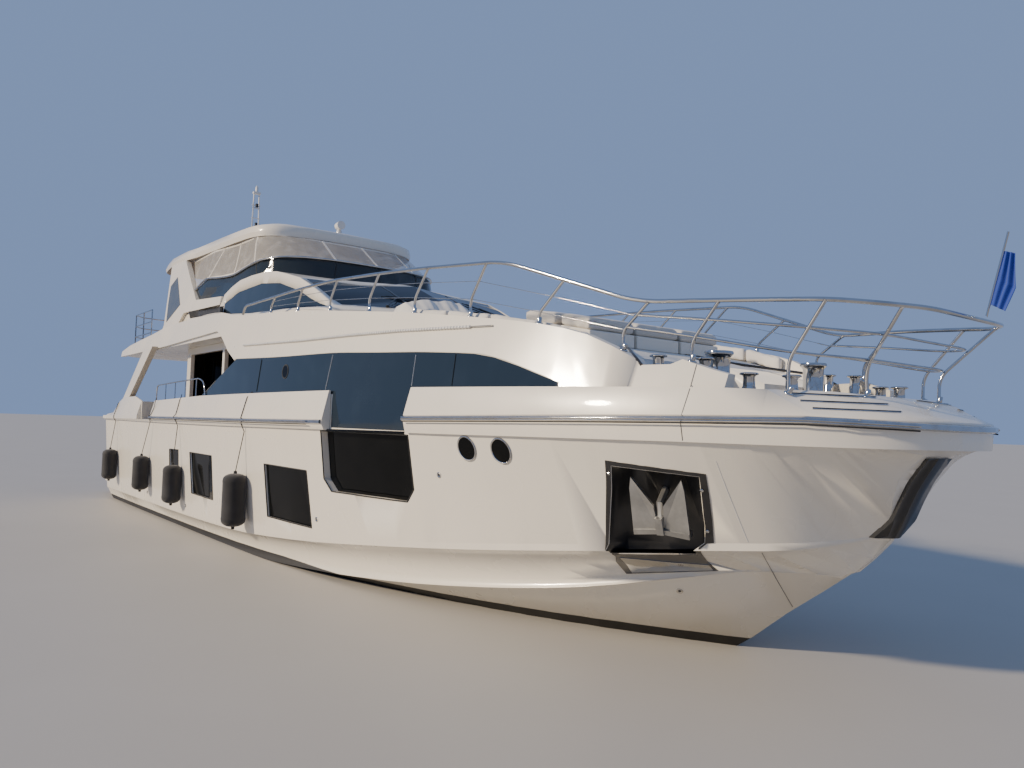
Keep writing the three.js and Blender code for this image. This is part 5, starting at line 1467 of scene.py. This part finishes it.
def leg_trim(side, name):
    trim = Trim()
    cast = side_cast(side, (f"fly_side_{name}",))
    lay_sheet(trim, LEG_PANEL, "leg_grey", cast, thick=0.006, lift=0.001, step=0.25)
    lower = seen_line(RECESS_LOWER_PIXELS, RECESS_NODES, 0.004, 2.0)
    upper = seen_line(RECESS_UPPER_PIXELS, RECESS_NODES, 0.004, 2.0)
    # painted shade: the black slab fills the recess where it lies in shade
    rings = [moved_to(side, [low, high, high + RECESS_DEPTH, low + RECESS_DEPTH])
             for low, high in zip(lower, upper)]
    return trim.skin(rings, "rubber")


# painted shade: the faces that look down under the hardtop get the darker taupe, as the shade there
underside_shaded = faces_to(dressing["hardtop"], "underside_shade", lambda corners, normal: normal.z < -0.8)
lamps = Trim()
for aft in LAMP_AFTS:
    for y in (-LAMP_HALF, LAMP_HALF):
        lamps.turned(at(aft, y, hardtop_under(aft)), (0, 0, -1), ROOF_LAMP, "white", 20)
lamps.build("hardtop_lamps", "lamp_white")
for side, name in ((1, "port"), (-1, "starboard")):
    leg_trim(side, name).build(f"leg_panels_{name}", "grey_paint")
print(underside_shaded, "faces lined,", 2 * len(LAMP_AFTS), "lamps")

# %% [markdown]
# ## Windscreen and side glass
# The panes are bonded, so a joint is a thin line, dark or white. The windscreen has two broad black joints
# and three wipers, each an arm, its rod and a blade on a hub at the screen's foot.

# %% Joints, round port and wipers
# joints of the side glass, as lines of the picture, with their finish
GLASS_JOINT_PIXELS = [
    ([(333.8, 352), (325.3, 391)], "white"), ([(416.6, 352), (411.8, 386)], "white"),
    ([(456.2, 354), (452.0, 385.5)], "rubber"), ([(234.5, 359.5), (204.5, 393.5)], "white"),
    ([(262.5, 356.5), (256.8, 391.5)], "rubber"),
]
SIDE_GLASS = ("house_glass_starboard",)
ROUND_PORT_PIXEL = (285.4, 371.6)
ROUND_PORT_RADIUS = 0.115
# aft and half along the foot of the windscreen
SCREEN_FOOT = [
    (11.50, 2.235), (10.33, 2.215), (9.90, 1.76), (9.70, 1.37), (9.51, 0.93), (9.33, 0.48), (9.30, 0.0),
]
PANE_JOINTS = (-0.78, 0.78)
PANE_JOINT_WIDTH = 0.045
# y of each wiper's hub, and how far across its blade is
WIPERS = [(-1.35, 0.55), (0.25, 0.55), (1.75, -0.5)]
WIPER_HUB = [(0, -0.02), (0.035, -0.02), (0.035, 0.02), (0.022, 0.035), (0, 0.035)]
BLADE_WAY = Vector((0.35, 1.0, 0)).normalized()
BLADE_LENGTH = 0.75


def windscreen_point(aft, y):
    return on_top(BOW_X - aft, y, ("windscreen",))


def screen_foot_at(y):
    """How far aft the foot of the windscreen is at this y."""
    halves, afts = zip(*sorted((half, aft) for aft, half in SCREEN_FOOT))
    return float(np.interp(abs(y), halves, afts))


def pane_joint(trim, y):
    """A flat strip up the windscreen; points past the pane are left out."""
    hits = [windscreen_point(screen_foot_at(y) + 0.06 + k * 0.12, y) for k in range(40)]
    hits = [(p, n) for p, n in hits if p is not None and n.z > 0.05]
    rings = []
    for i, (point, normal) in enumerate(hits):
        way = hits[min(i + 1, len(hits) - 1)][0] - hits[max(i - 1, 0)][0]
        across = way.normalized().cross(normal).normalized() * (PANE_JOINT_WIDTH / 2)
        low, high = point + normal * BAND_LIFT, point + normal * (BAND_LIFT + JOINT_THICK)
        rings.append([low - across, low + across, high + across, high - across])
    trim.skin(rings, "black")


def wiper(trim, hub_y, reach):
    base, normal = windscreen_point(screen_foot_at(hub_y) + 0.10, hub_y)
    tip, tip_normal = windscreen_point(screen_foot_at(hub_y) + 0.62, hub_y + reach)
    start, end = base + normal * 0.012, tip + tip_normal * 0.045
    trim.turned(start, normal, WIPER_HUB, "black", 16)
    arm = [start + normal * 0.02, start.lerp(end, 0.5) + normal * 0.03, end]
    trim.tube(arm, [0.014, 0.010, 0.007], "black", 8)
    rod = [start + normal * 0.02 + Vector((-0.05, 0, 0)), end + Vector((-0.04, 0, 0))]
    trim.tube(rod, 0.005, "black", 6)
    blade = []
    for k in range(9):
        spot = tip + BLADE_WAY * (k / 8 - 0.5) * BLADE_LENGTH
        point, out = on_top(spot.x, spot.y, ("windscreen",))
        if point is not None:
            blade.append(point + out * 0.014)
    trim.tube(blade, 0.009, "rubber", 6)
    trim.tube([p + Z_AXIS * 0.018 for p in blade[1:-1]], 0.006, "black", 6)


def side_glass_trim(side):
    trim = Trim()
    for line, finish in GLASS_JOINT_PIXELS:
        path = moved_to(side, seen_line(line, SIDE_GLASS, 0.002, 3.0))
        trim.tube(path, 0.009, finish, 8, flat=0.35)
    point, normal = moved_to(side, seen_at(ROUND_PORT_PIXEL, SIDE_GLASS))
    r = ROUND_PORT_RADIUS
    trim.turned(point, normal, [(0, -0.004), (r, -0.004), (r, 0.004), (0, 0.004)], "hull_glass", 32)
    seal = [(r - 0.004, 0.003), (r, 0.009), (r + 0.016, 0.008), (r + 0.018, -0.004)]
    trim.turned(point, normal, seal, "rubber", 32)
    return trim


screen = Trim()
for y in PANE_JOINTS:
    pane_joint(screen, y)
for hub_y, reach in WIPERS:
    wiper(screen, hub_y, reach)
screen.build("windscreen_trim", "dark_glass")
for side, name in ((1, "port"), (-1, "starboard")):
    side_glass_trim(side).build(f"house_glass_trim_{name}", "dark_glass")
print(len(WIPERS), "wipers,", len(GLASS_JOINT_PIXELS), "joints a side")

# %% [markdown]
# ## Mast equipment
# A motor yacht's mast carries its lights and horns. Each is a turned form, given as a section of radii and
# distances along its axis; the lamps stand on small brackets ahead of the mast.

# %% Mast lamps, horns and finial
MAST_AFT = 20.9
LAMP_HEIGHTS = (8.05, 8.62, 9.22)
HORN_HEIGHT, HORN_HALF = 7.93, 0.075
FINIAL_HEIGHT = 9.86
MAST_LAMP = [
    (0, 0), (0.045, 0), (0.05, 0.012), (0.05, 0.03), (0.04, 0.034), (0.04, 0.085), (0.05, 0.09),
    (0.05, 0.105), (0.03, 0.12), (0, 0.122),
]
HORN = [
    (0, 0), (0.018, 0), (0.02, 0.05), (0.024, 0.12), (0.035, 0.19), (0.062, 0.235), (0.066, 0.24),
    (0.055, 0.236), (0.02, 0.17), (0, 0.165),
]
FINIAL = [(0, 0), (0.02, 0), (0.02, 0.02), (0.006, 0.03), (0.003, 0.055)]


def mast_gear():
    trim = Trim()
    mast_x = BOW_X - MAST_AFT
    for z in LAMP_HEIGHTS:
        trim.tube([at(MAST_AFT, -0.115, z), at(MAST_AFT, 0.115, z)], 0.012, "steel", 10)
        trim.box((mast_x - 0.02, -0.04, z - 0.015), (mast_x + 0.1, 0.04, z + 0.005), "steel")
        trim.turned(at(MAST_AFT - 0.07, 0, z + 0.005), Z_AXIS, MAST_LAMP, "black", 20)
    for y in (-HORN_HALF, HORN_HALF):
        trim.turned(at(MAST_AFT, y, HORN_HEIGHT), (1, 0, 0.06), HORN, "steel", 24)
    trim.turned(at(MAST_AFT, 0, FINIAL_HEIGHT), Z_AXIS, FINIAL, "steel", 12)
    return trim


mast = mast_gear().build("mast_gear", "steel")
print("mast gear", len(mast.data.polygons), "faces")

# %% [markdown]
# ## Bow gear
# On a yacht this size the windlasses, capstans and bollards are polished castings on a dark, hard-wearing
# panel. The chain from each windlass lies along that panel to its hawse. A chain is one link repeated,
# every second one rolled a quarter turn, so it is a job for Geometry Nodes: points along a path, a link on
# each, then a finish.

# %% Polished gear on the bow deck
BOW_DECK_Z = 2.95
GEAR_FROM = BOW_DECK_Z + 0.012


def is_gear(corners, normal):
    heights = [p.z for p in corners]
    return max(heights) > GEAR_FROM and min(heights) > BOW_DECK_Z - 0.01


def is_floor(corners, normal):
    return normal.z > 0.9 and corners[0].z <= GEAR_FROM


gear = faces_to(dressing["bow_deck"], "steel", is_gear)
floor_faces = faces_to(dressing["bow_deck"], "gear_floor", is_floor)
print(gear, "gear faces,", floor_faces, "floor faces")

# %% Repeats by Geometry Nodes
def repeat_group():
    """Points every Step along an edge path, an instance on each, every second one rolled by Roll."""
    group = bpy.data.node_groups.new("repeat_along_path", "GeometryNodeTree")
    inputs = {"Path": "Geometry", "Unit": "Object", "Step": "Float", "Roll": "Float", "Finish": "Material"}
    for name, kind in inputs.items():
        group.interface.new_socket(name, in_out="INPUT", socket_type="NodeSocket" + kind)
    group.interface.new_socket("Result", in_out="OUTPUT", socket_type="NodeSocketGeometry")
    nodes = group.nodes
    source, sink = nodes.new("NodeGroupInput"), nodes.new("NodeGroupOutput")
    to_curve = nodes.new("GeometryNodeMeshToCurve")
    to_points = nodes.new("GeometryNodeCurveToPoints")
    to_points.mode = "LENGTH"
    unit = nodes.new("GeometryNodeObjectInfo")
    place = nodes.new("GeometryNodeInstanceOnPoints")
    turn = nodes.new("GeometryNodeRotateInstances")
    index = nodes.new("GeometryNodeInputIndex")
    odd = nodes.new("ShaderNodeMath")
    odd.operation = "MODULO"
    odd.inputs[1].default_value = 2
    amount = nodes.new("ShaderNodeMath")
    amount.operation = "MULTIPLY"
    spin = nodes.new("ShaderNodeCombineXYZ")
    real = nodes.new("GeometryNodeRealizeInstances")
    paint = nodes.new("GeometryNodeSetMaterial")
    # from a node's output to a node's input
    joins = [
        (source, "Path", to_curve, "Mesh"), (to_curve, "Curve", to_points, "Curve"),
        (source, "Step", to_points, "Length"), (to_points, "Points", place, "Points"),
        (to_points, "Rotation", place, "Rotation"), (source, "Unit", unit, "Object"),
        (unit, "Geometry", place, "Instance"), (index, "Index", odd, 0), (odd, 0, amount, 0),
        (source, "Roll", amount, 1), (amount, 0, spin, "Z"), (place, "Instances", turn, "Instances"),
        (spin, "Vector", turn, "Rotation"), (turn, "Instances", real, "Geometry"),
        (real, "Geometry", paint, "Geometry"), (source, "Finish", paint, "Material"),
        (paint, "Geometry", sink, "Result"),
    ]
    for start, output, end, entry in joins:
        group.links.new(start.outputs[output], end.inputs[entry])
    return group


REPEAT = repeat_group()


def repeated(name, paths, unit_trim, step, roll, finish):
    """The unit repeated along the paths, as one plain mesh."""
    unit_mesh = bpy.data.meshes.new(name + "_unit")
    unit_mesh.from_pydata([tuple(p) for p in unit_trim.points], [], unit_trim.faces)
    unit_mesh.shade_smooth()
    unit = bpy.data.objects.new(name + "_unit", unit_mesh)
    points, edges = [], []
    for path in paths:
        edges += [(len(points) + i, len(points) + i + 1) for i in range(len(path) - 1)]
        points += [tuple(p) for p in path]
    line = bpy.data.meshes.new(name + "_path")
    line.from_pydata(points, edges, [])
    piece = link(name, line)
    modifier = piece.modifiers.new("repeat", "NODES")
    modifier.node_group = REPEAT
    sockets = [item for item in REPEAT.interface.items_tree if item.in_out == "INPUT"]
    identifiers = {item.name: item.identifier for item in sockets}
    values = {"Unit": unit, "Step": step, "Roll": roll, "Finish": finishes[finish].material}
    for socket_name, value in values.items():
        modifier[identifiers[socket_name]] = value
    baked(piece)
    bpy.data.objects.remove(unit)
    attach(piece, "yacht")
    return piece


print("repeat tree has", len(REPEAT.nodes), "nodes")

# %% Anchor chains
LINK_WIRE, LINK_HALF, LINK_WIDE, LINK_STEP = 0.006, 0.021, 0.012, 0.030
# aft, half and height from the windlass to the hawse
CHAIN_PATH = [
    (2.28, 1.0, 3.03), (2.1, 0.96, 2.985), (1.75, 0.84, 2.972), (1.35, 0.68, 2.972), (1.0, 0.52, 2.972),
    (0.86, 0.46, 2.965),
]


def chain_link():
    """One studless link along Z: two half rings joined by straight sides."""
    loop = []
    for turn in circle_turns(16):
        centre = (LINK_HALF - LINK_WIDE) * (1 if math.sin(turn) > 0 else -1)
        loop.append(Vector((LINK_WIDE * math.cos(turn), 0, centre + LINK_WIDE * math.sin(turn))))
    return Trim().tube(loop, LINK_WIRE, "galvanised", 8, closed=True)


port_chain = smooth_path([at(*p) for p in CHAIN_PATH], 8)
both_chains = [port_chain, mirrored_path(port_chain)]
chains = repeated("anchor_chains", both_chains, chain_link(), LINK_STEP, math.pi / 2, "galvanised")
print("chains", len(chains.data.polygons), "faces")

# %% Hawses, deck hatches, posts, drums and bollard heads
# places are aft and half; sections are radius and distance along the axis
HAWSE = (0.86, 0.46)
HAWSE_RING = [(0.05, -0.02), (0.09, -0.02), (0.1, 0.006), (0.085, 0.022), (0.06, 0.024), (0.05, 0.01)]
# painted shade: a thin black disc in the hawse ring stands for the shade down the bore
HAWSE_BORE = [(0, -0.01), (0.052, -0.01), (0.052, 0.004), (0, 0.004)]
HATCHES, HATCH_HALF = [(1.62, 0.5), (2.5, 0.45)], 0.23
HATCH_LATCH = [(0, 0), (0.035, 0), (0.035, 0.004), (0, 0.005)]
POST = (1.55, 0.76)
POST_SECTION = [
    (0, -0.01), (0.06, -0.01), (0.06, 0.05), (0.035, 0.07), (0.03, 0.15), (0.06, 0.16), (0.06, 0.175),
    (0, 0.18),
]
DRUM = (2.4, 1.0)
DRUM_SECTION = [
    (0.0, 3.22), (0.15, 3.22), (0.133, 3.28), (0.131, 3.45), (0.133, 3.57), (0.15, 3.598), (0.168, 3.61),
    (0.172, 3.632), (0.165, 3.652), (0, 3.654),
]
# aft, half and height of the top
BOLLARD_TOPS = [(2.64, 1.78, 3.56), (2.14, 1.58, 3.52), (1.69, 1.40, 3.35), (1.33, 1.16, 3.33)]
BOLLARD_HEAD = [
    (0.0, -0.14), (0.066, -0.14), (0.062, -0.05), (0.07, -0.03), (0.1, -0.022), (0.103, -0.01), (0.09, 0.001),
    (0, 0.006),
]


def hatch(trim, aft, y):
    low = (BOW_X - aft - HATCH_HALF, y - HATCH_HALF, BOW_DECK_Z - 0.006)
    high = (BOW_X - aft + HATCH_HALF, y + HATCH_HALF, BOW_DECK_Z + 0.014)
    trim.box(low, high, "gelcoat")
    trim.turned(at(aft, y, BOW_DECK_Z + 0.013), Z_AXIS, HATCH_LATCH, "steel", 20)


def bow_trim():
    trim = Trim()
    for side in (1, -1):
        hawse = at(HAWSE[0], HAWSE[1] * side, BOW_DECK_Z)
        trim.turned(hawse, Z_AXIS, HAWSE_RING, "steel", 24)
        # the black disc is painted shade in the hawse's bore
        trim.turned(hawse, Z_AXIS, HAWSE_BORE, "black", 20)
        for aft, half in HATCHES:
            hatch(trim, aft, half * side)
        trim.turned(at(POST[0], POST[1] * side, BOW_DECK_Z), Z_AXIS, POST_SECTION, "steel", 20)
        trim.turned(at(DRUM[0], DRUM[1] * side, 0), Z_AXIS, DRUM_SECTION, "steel", 32)
        for aft, half, top in BOLLARD_TOPS:
            trim.turned(at(aft, half * side, top), Z_AXIS, BOLLARD_HEAD, "steel", 28)
    return trim


fittings = bow_trim().build("bow_trim", "steel", bevel=0.004)
print("bow fittings", len(fittings.data.polygons), "faces")

# %% [markdown]
# ## Slots, seam and grab rail
# Small things along the side: three slots through each side of the nose, a joint of the bow moulding, the
# corner of the house glass, and a long thin grab rail with its bracket. They were read off the photograph,
# so each is a line of the picture that is cast onto the skin and mirrored. The grab rail's beads are one
# turned form repeated along it.

# %% Fittings on the side
# from here on, lines of the picture
NOSE_SLOT_PIXELS = [
    ((788.5, 393.2), (875, 397.2)), ((800.5, 400.6), (887, 404.3)), ((812.5, 408.2), (900.4, 411.9)),
]
PANEL_SEAM_PIXELS = [(696.6, 364.5), (691, 385), (680, 419), (682.5, 440.5)]
GLASS_CORNER_PIXELS = [(626.2, 346), (641.5, 365)]
RAIL_BRACKET_PIXELS = [(471, 327), (493, 325.8)]
GRAB_RAIL_PIXELS = [(244.7, 345.4), (300, 341), (350, 335.6), (400, 331.2), (450, 328.4), (470, 327.4)]
NOSE_NODES = ("bow_bulwark", "bow_deck")
HOUSE = ("upper_house",)
# line, the nodes it lies on, lift, step in pixels, radius, finish, sides, squeeze
SIDE_LINES = [
    (PANEL_SEAM_PIXELS, ("bow_bulwark", "hull", "bow_deck", "upper_house"), 0.0, 4.0, 0.0055, "grey", 6, 1.0),
    (GLASS_CORNER_PIXELS, ("upper_house", "bow_bulwark"), 0.0, 4.0, 0.02, "black", 8, 1.0),
    (RAIL_BRACKET_PIXELS, HOUSE, 0.008, 4.0, 0.03, "steel", 12, 0.35),
    (GRAB_RAIL_PIXELS, HOUSE, 0.02, 6.0, 0.013, "white", 8, 1.0),
]
# how far below and above the slot's line its polished lip and the black strip of painted shade in its opening
# are, in pixels
LIP_BELOW, SHADE_ABOVE = 0.9, 0.4
BEAD_SECTION = [(0.012, -0.026), (0.022, -0.018), (0.022, 0.018), (0.012, 0.026)]
BEAD_STEP = 0.062


def side_fittings():
    trim = Trim()
    for slot in NOSE_SLOT_PIXELS:
        lip = seen_line([(x, y + LIP_BELOW) for x, y in slot], NOSE_NODES, 0.002, 6.0)
        slot_shade = seen_line([(x, y - SHADE_ABOVE) for x, y in slot], NOSE_NODES, 0.001, 6.0)
        # painted shade: a flat black tube stands for the shade inside each slot
        for line in both_sides(slot_shade):
            trim.tube(line, 0.017, "black", 8, flat=0.4)
        for line in both_sides(lip):
            trim.tube(line, 0.008, "steel", 8)
    for pixels, nodes, lift, step, radius, finish, sides, squeeze in SIDE_LINES:
        for line in both_sides(seen_line(pixels, nodes, lift, step)):
            trim.tube(line, radius, finish, sides, flat=squeeze)
    return trim


side_fittings().build("side_fittings", "steel")
rail_paths = both_sides(seen_line(GRAB_RAIL_PIXELS, HOUSE, 0.02, 6.0))
bead = Trim().turned((0, 0, 0), Z_AXIS, BEAD_SECTION, "white", 10)
beads = repeated("grab_rail_beads", rail_paths, bead, BEAD_STEP, 0.0, "white")
print("beads of the grab rail", len(beads.data.polygons), "faces")

# %% [markdown]
# ## Anchors
# Each anchor is drawn up into its pocket. A polished plate at the pocket's foot saves the hull from the
# flukes, and bolts hold the black panel round it.

# %% Anchor plates
# aft and height
ANCHOR_PLATE = [(3.30, 1.175), (2.49, 1.16), (2.56, 1.075), (3.46, 0.94)]
PANEL_BOLTS = [(2.03, 2.08), (2.13, 1.62), (3.0, 2.2)]
# radius, and distance out of the panel
BOLT_SECTION = [(0, 0), (0.022, 0), (0.022, 0.02), (0.014, 0.026), (0, 0.026)]


def anchor_trim(side):
    trim = Trim()
    lay_sheet(trim, ANCHOR_PLATE, "steel", side_cast(side), thick=0.006, lift=0.010, step=0.2)
    for aft, z in PANEL_BOLTS:
        point, normal = on_side(aft, z, side)
        trim.turned(point, normal, BOLT_SECTION, "steel", 6)
    return trim


for side, name in ((1, "port"), (-1, "starboard")):
    plates = anchor_trim(side).build(f"anchor_plates_{name}", "steel")
    print(plates.name, len(plates.data.polygons), "faces")

# %% [markdown]
# ## Flag
# The bow flag hangs limp from its staff, so its width is gathered into soft pleats that start at the hoist
# and deepen towards the free edge.

# %% Limp flag
# aft and height down the hoist and down the free edge
HOIST = [(-0.270, 4.595), (-0.205, 4.33), (-0.148, 4.07)]
FREE_EDGE = [(-0.380, 4.555), (-0.390, 4.22), (-0.290, 3.985)]
PLEATS, PLEAT_DEPTH = 2.6, 0.026
SAG = 0.014
ACROSS, DOWN = 44, 48


def along_edge(rows, share):
    """Aft and height at this share of the way through the edge's points."""
    steps = [k / (len(rows) - 1) for k in range(len(rows))]
    return [float(np.interp(share, steps, [r[i] for r in rows])) for i in (0, 1)]


def flag_mesh():
    points, faces = [], []
    for j in range(DOWN + 1):
        v = j / DOWN
        start, end = along_edge(HOIST, v), along_edge(FREE_EDGE, v)
        for i in range(ACROSS + 1):
            u = i / ACROSS
            aft, z = (a + (b - a) * u for a, b in zip(start, end))
            wave = 2 * math.pi * PLEATS * u + 1.3 * math.sin(2.2 * v) + 0.4 * v
            depth = PLEAT_DEPTH * min(1, u * 3) * (0.55 + 0.45 * math.sin(0.6 + 2.4 * v))
            points.append(at(aft, math.sin(wave) * depth, z - SAG * u * math.sin(math.pi * v)))
    for j in range(DOWN):
        for i in range(ACROSS):
            a = j * (ACROSS + 1) + i
            faces.append((a, a + 1, a + ACROSS + 2, a + ACROSS + 1))
    mesh = bpy.data.meshes.new("limp_flag")
    mesh.from_pydata([tuple(p) for p in points], [], faces)
    mesh.shade_smooth()
    mesh.materials.append(finishes["flag"].material)
    return mesh


flag = link("limp_flag", flag_mesh())
solid = flag.modifiers.new("cloth_thickness", "SOLIDIFY")
solid.thickness, solid.offset = 0.0012, 0
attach(flag, "yacht")
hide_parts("flag")

# %% [markdown]
# ## Decks
# Deck surfaces get their own finish by the way each face looks: moulded non-skid on the foredeck, and teak
# underfoot on the flybridge, in the cockpit and on the swim platform, whose edges are gelcoat.

# %% Deck finishes
FOREDECK_HALF = 2.7


def foredeck_top(corners, normal):
    return normal.z > 0.9 and max(abs(p.y) for p in corners) < FOREDECK_HALF


def fly_floor(corners, normal):
    return normal.z > 0.98 and corners[0].z < FLY_SOLE_Z + 0.02


def not_a_top(corners, normal):
    return normal.z < 0.5


DECK_FACES = [
    ("upper_house", "non_skid", foredeck_top), ("upper_deck", "teak", fly_floor),
    ("swim_platform", "gelcoat", not_a_top), ("main_deck", "gelcoat", not_a_top),
]
for node, finish, chosen in DECK_FACES:
    print(node, faces_to(dressing[node], finish, chosen), "faces")

# %% [markdown]
# ## Fenders
# Black covered fenders hang along the starboard side on taut lines. Each is a turned form with rounded
# ends, a welt round each shoulder and a neck for its line.

# %% Fenders on the starboard side
# aft, height of the middle, radius, length, and where its line is made fast, as aft, half and height
FENDERS = [
    (12.0, 1.10, 0.25, 1.02, (11.66, 2.90, 4.79)), (16.25, 1.08, 0.21, 0.90, (16.4, 3.17, 3.20)),
    (19.2, 1.15, 0.21, 0.90, (18.4, 3.24, 3.12)), (23.0, 1.16, 0.21, 0.90, (22.9, 3.17, 3.05)),
]
# half the width that the fenders keep within
BOX_HALF = 3.535
LINE_RADIUS, NECK_RADIUS = 0.009, 0.035
LINE_OFF_SIDE = 0.012
SIDE_NODES = ("hull", "bulwark_starboard", "rub_rail_starboard", "saloon_side_starboard")


def fender_line(start, end):
    """A taut line from the fender up over the side: straight, and pressed out where the side stands proud."""
    path = []
    for k in range(25):
        p = start.lerp(end, k / 24)
        skin, _ = on_side(BOW_X - p.x, p.z, -1, SIDE_NODES)
        if skin is not None and skin.y - LINE_OFF_SIDE < p.y and k < 24:
            p.y = skin.y - LINE_OFF_SIDE
        path.append(p)
    return path


def fender_section(half, radius):
    """Radius and height from the lower neck to the upper one."""
    section = [(0.0, -half - 0.05), (0.03, -half - 0.05), (NECK_RADIUS, -half)]
    for k in range(1, 7):
        turn = math.pi / 2 * k / 6
        wide = NECK_RADIUS + (radius - NECK_RADIUS) * math.sin(turn)
        section.append((wide, -half + 0.12 * (1 - math.cos(turn))))
    section += [(radius * 1.02, -half + 0.15), (radius * 1.02, -half + 0.16), (radius, -half + 0.18)]
    return section + [(r, -along) for r, along in section[::-1]]


def fender(trim, aft, z, radius, length, fast):
    skin, _ = on_side(aft, z, -1)
    radius = min(radius, (BOX_HALF + skin.y) / 2)
    centre = Vector((skin.x, skin.y - radius - 0.004, z))
    half = length / 2
    trim.turned(centre, Z_AXIS, fender_section(half, radius), "rope", 32)
    line = fender_line(centre + Z_AXIS * (half + 0.03), at(fast[0], -fast[1], fast[2]))
    trim.tube(line, LINE_RADIUS, "rope", 8)


fender_trim = Trim()
for row in FENDERS:
    fender(fender_trim, *row)
fender_trim.build("fenders", "grey_paint", angle=50)
print(len(FENDERS), "fenders")

# %% [markdown]
# ## Rub rails and side deck rails
# A polished half-round caps the rub rail, with a black line of painted shade under it. Low stainless rails
# stand on the bulwarks between the wings and the gates.

# %% Half-round caps and bulwark rails
# aft and height of the rub rail
RUB_HEIGHTS = [
    (0.0, 2.81), (0.25, 2.825), (0.9, 2.85), (2.9, 2.82), (6.3, 2.76), (8.4, 2.67), (11.4, 2.65),
    (14.5, 2.64), (18.7, 2.62), (23.8, 2.58),
]
# the black line under the cap is painted shade, standing for the shadow gap beneath it
CAP_STEP, CAP_RADIUS, SHADE_LINE_RADIUS, SHADE_LINE_DROP = 0.14, 0.024, 0.008, 0.045
# aft and height of the rail on the bulwark; the last point is its foot
BULWARK_RAIL = [(18.75, 3.12), (18.75, 3.46), (17.0, 3.51), (15.15, 3.55), (14.8, 3.46), (14.66, 3.14)]
RAIL_POSTS = (17.9, 17.05, 16.2, 15.35)
RAIL_RADIUS, RAIL_POST_RADIUS, POST_INBOARD = 0.016, 0.012, 0.0275
RAIL_FOOT = [(0, -0.005), (0.03, -0.005), (0.03, 0.006), (0.014, 0.014), (0, 0.014)]


def cap_line(node, start, end, side):
    """The line of a rub rail's cap between two places."""
    afts, heights = zip(*RUB_HEIGHTS)
    count = int((end - start) / CAP_STEP)
    path = []
    for k in range(count + 1):
        aft = start + (end - start) * k / count
        point, _ = on_side(aft, float(np.interp(aft, afts, heights)), side, (node,))
        if point is not None:
            path.append(point + Vector((0, side * 0.004, 0)))
    return path


def bulwark_top(aft, side):
    """The highest point of the bulwark at this place, found with rays at steps inboard."""
    node = "bulwark_port" if side > 0 else "bulwark_starboard"
    best = None
    for k in range(40):
        y = side * (3.32 - k * 0.008)
        point, _ = on_top(BOW_X - aft, y, (node,), 6.0)
        if point is not None and (best is None or point.z > best.z + 0.002):
            best = point
    return best


def rub_rail_caps(trim, side, name):
    for node, start, end in (("rub_rail_bow", 0.12, 6.35), (f"rub_rail_{name}", 8.95, 23.6)):
        cap = cap_line(node, start, end, side)
        trim.tube(cap, CAP_RADIUS, "steel", 12, flat=0.6)
        # painted shade: a thin black tube under the cap stands for the shadow gap beneath it
        trim.tube([p - Z_AXIS * SHADE_LINE_DROP for p in cap], SHADE_LINE_RADIUS, "rubber", 8)


def bulwark_rail(trim, side):
    tops = [bulwark_top(aft, side) for aft, _ in BULWARK_RAIL]
    path = [Vector((BOW_X - aft, top.y - side * POST_INBOARD, z))
            for (aft, z), top in zip(BULWARK_RAIL, tops)]
    path[0].z, path[-1].z = tops[0].z - 0.01, tops[-1].z - 0.01
    trim.tube(rounded_path(path, 0.16, 5), RAIL_RADIUS, "steel", 12)
    afts, heights = zip(*BULWARK_RAIL[3:0:-1])
    for aft in RAIL_POSTS:
        foot = bulwark_top(aft, side)
        base = Vector((foot.x, foot.y - side * POST_INBOARD, foot.z))
        head = Vector((base.x, base.y, float(np.interp(aft, afts, heights))))
        trim.tube([base - Z_AXIS * 0.01, head], RAIL_POST_RADIUS, "steel", 10)
        trim.turned(base, Z_AXIS, RAIL_FOOT, "steel", 16)


def side_rails():
    trim = Trim()
    for side, name in ((1, "port"), (-1, "starboard")):
        rub_rail_caps(trim, side, name)
        bulwark_rail(trim, side)
    return trim


rails = side_rails().build("side_rails", "steel", angle=50)
print("side rails", len(rails.data.polygons), "faces")

# %% [markdown]
# ## Floor and light
# The floor is at the waterline, plain and pale. The light is low and warm and comes over the starboard
# side, from a little abaft the beam, with a soft blue sky all round.

# %% Floor, sky and sun
FLOOR_HALF = 600.0
FLOOR_DARK, FLOOR_LIGHT = (0.44, 0.415, 0.37), (0.48, 0.455, 0.41)
SKY, SKY_STRENGTH = (0.29, 0.42, 0.74, 1), 0.72
# the way the sunlight travels, its strength, its colour and the sun's apparent size in degrees
SUN_WAY, SUN_STRENGTH, SUN_COLOUR, SUN_SIZE = (0.32, 0.83, -0.42), 4.6, (1.0, 0.84, 0.63), 4


def floor():
    finish = Finish("pale_floor", (0.46, 0.435, 0.39), 0.55)
    finish.set(**{"Base Color": finish.mix(finish.noise(finish.place(), 0.4, 4), FLOOR_DARK, FLOOR_LIGHT)})
    mesh = bpy.data.meshes.new("floor")
    corners = [(-FLOOR_HALF, -FLOOR_HALF, 0), (FLOOR_HALF, -FLOOR_HALF, 0),
               (FLOOR_HALF, FLOOR_HALF, 0), (-FLOOR_HALF, FLOOR_HALF, 0)]
    mesh.from_pydata(corners, [], [(0, 1, 2, 3)])
    mesh.materials.append(finish.material)
    piece = link("floor", mesh)


def sky():
    world = bpy.data.worlds.new("studio")
    bpy.context.scene.world = world
    world.use_nodes = True
    background = world.node_tree.nodes["Background"]
    background.inputs["Color"].default_value = SKY
    background.inputs["Strength"].default_value = SKY_STRENGTH


def sun():
    lamp = bpy.data.lights.new("key_light", "SUN")
    lamp.energy, lamp.color, lamp.angle = SUN_STRENGTH, SUN_COLOUR, math.radians(SUN_SIZE)
    holder = bpy.data.objects.new("key_light", lamp)
    holder.rotation_mode = "QUATERNION"
    holder.rotation_quaternion = Vector(SUN_WAY).to_track_quat("-Z", "Y")
    bpy.context.scene.collection.objects.link(holder)


floor()
sky()
sun()
print("floor, sky and sun set")
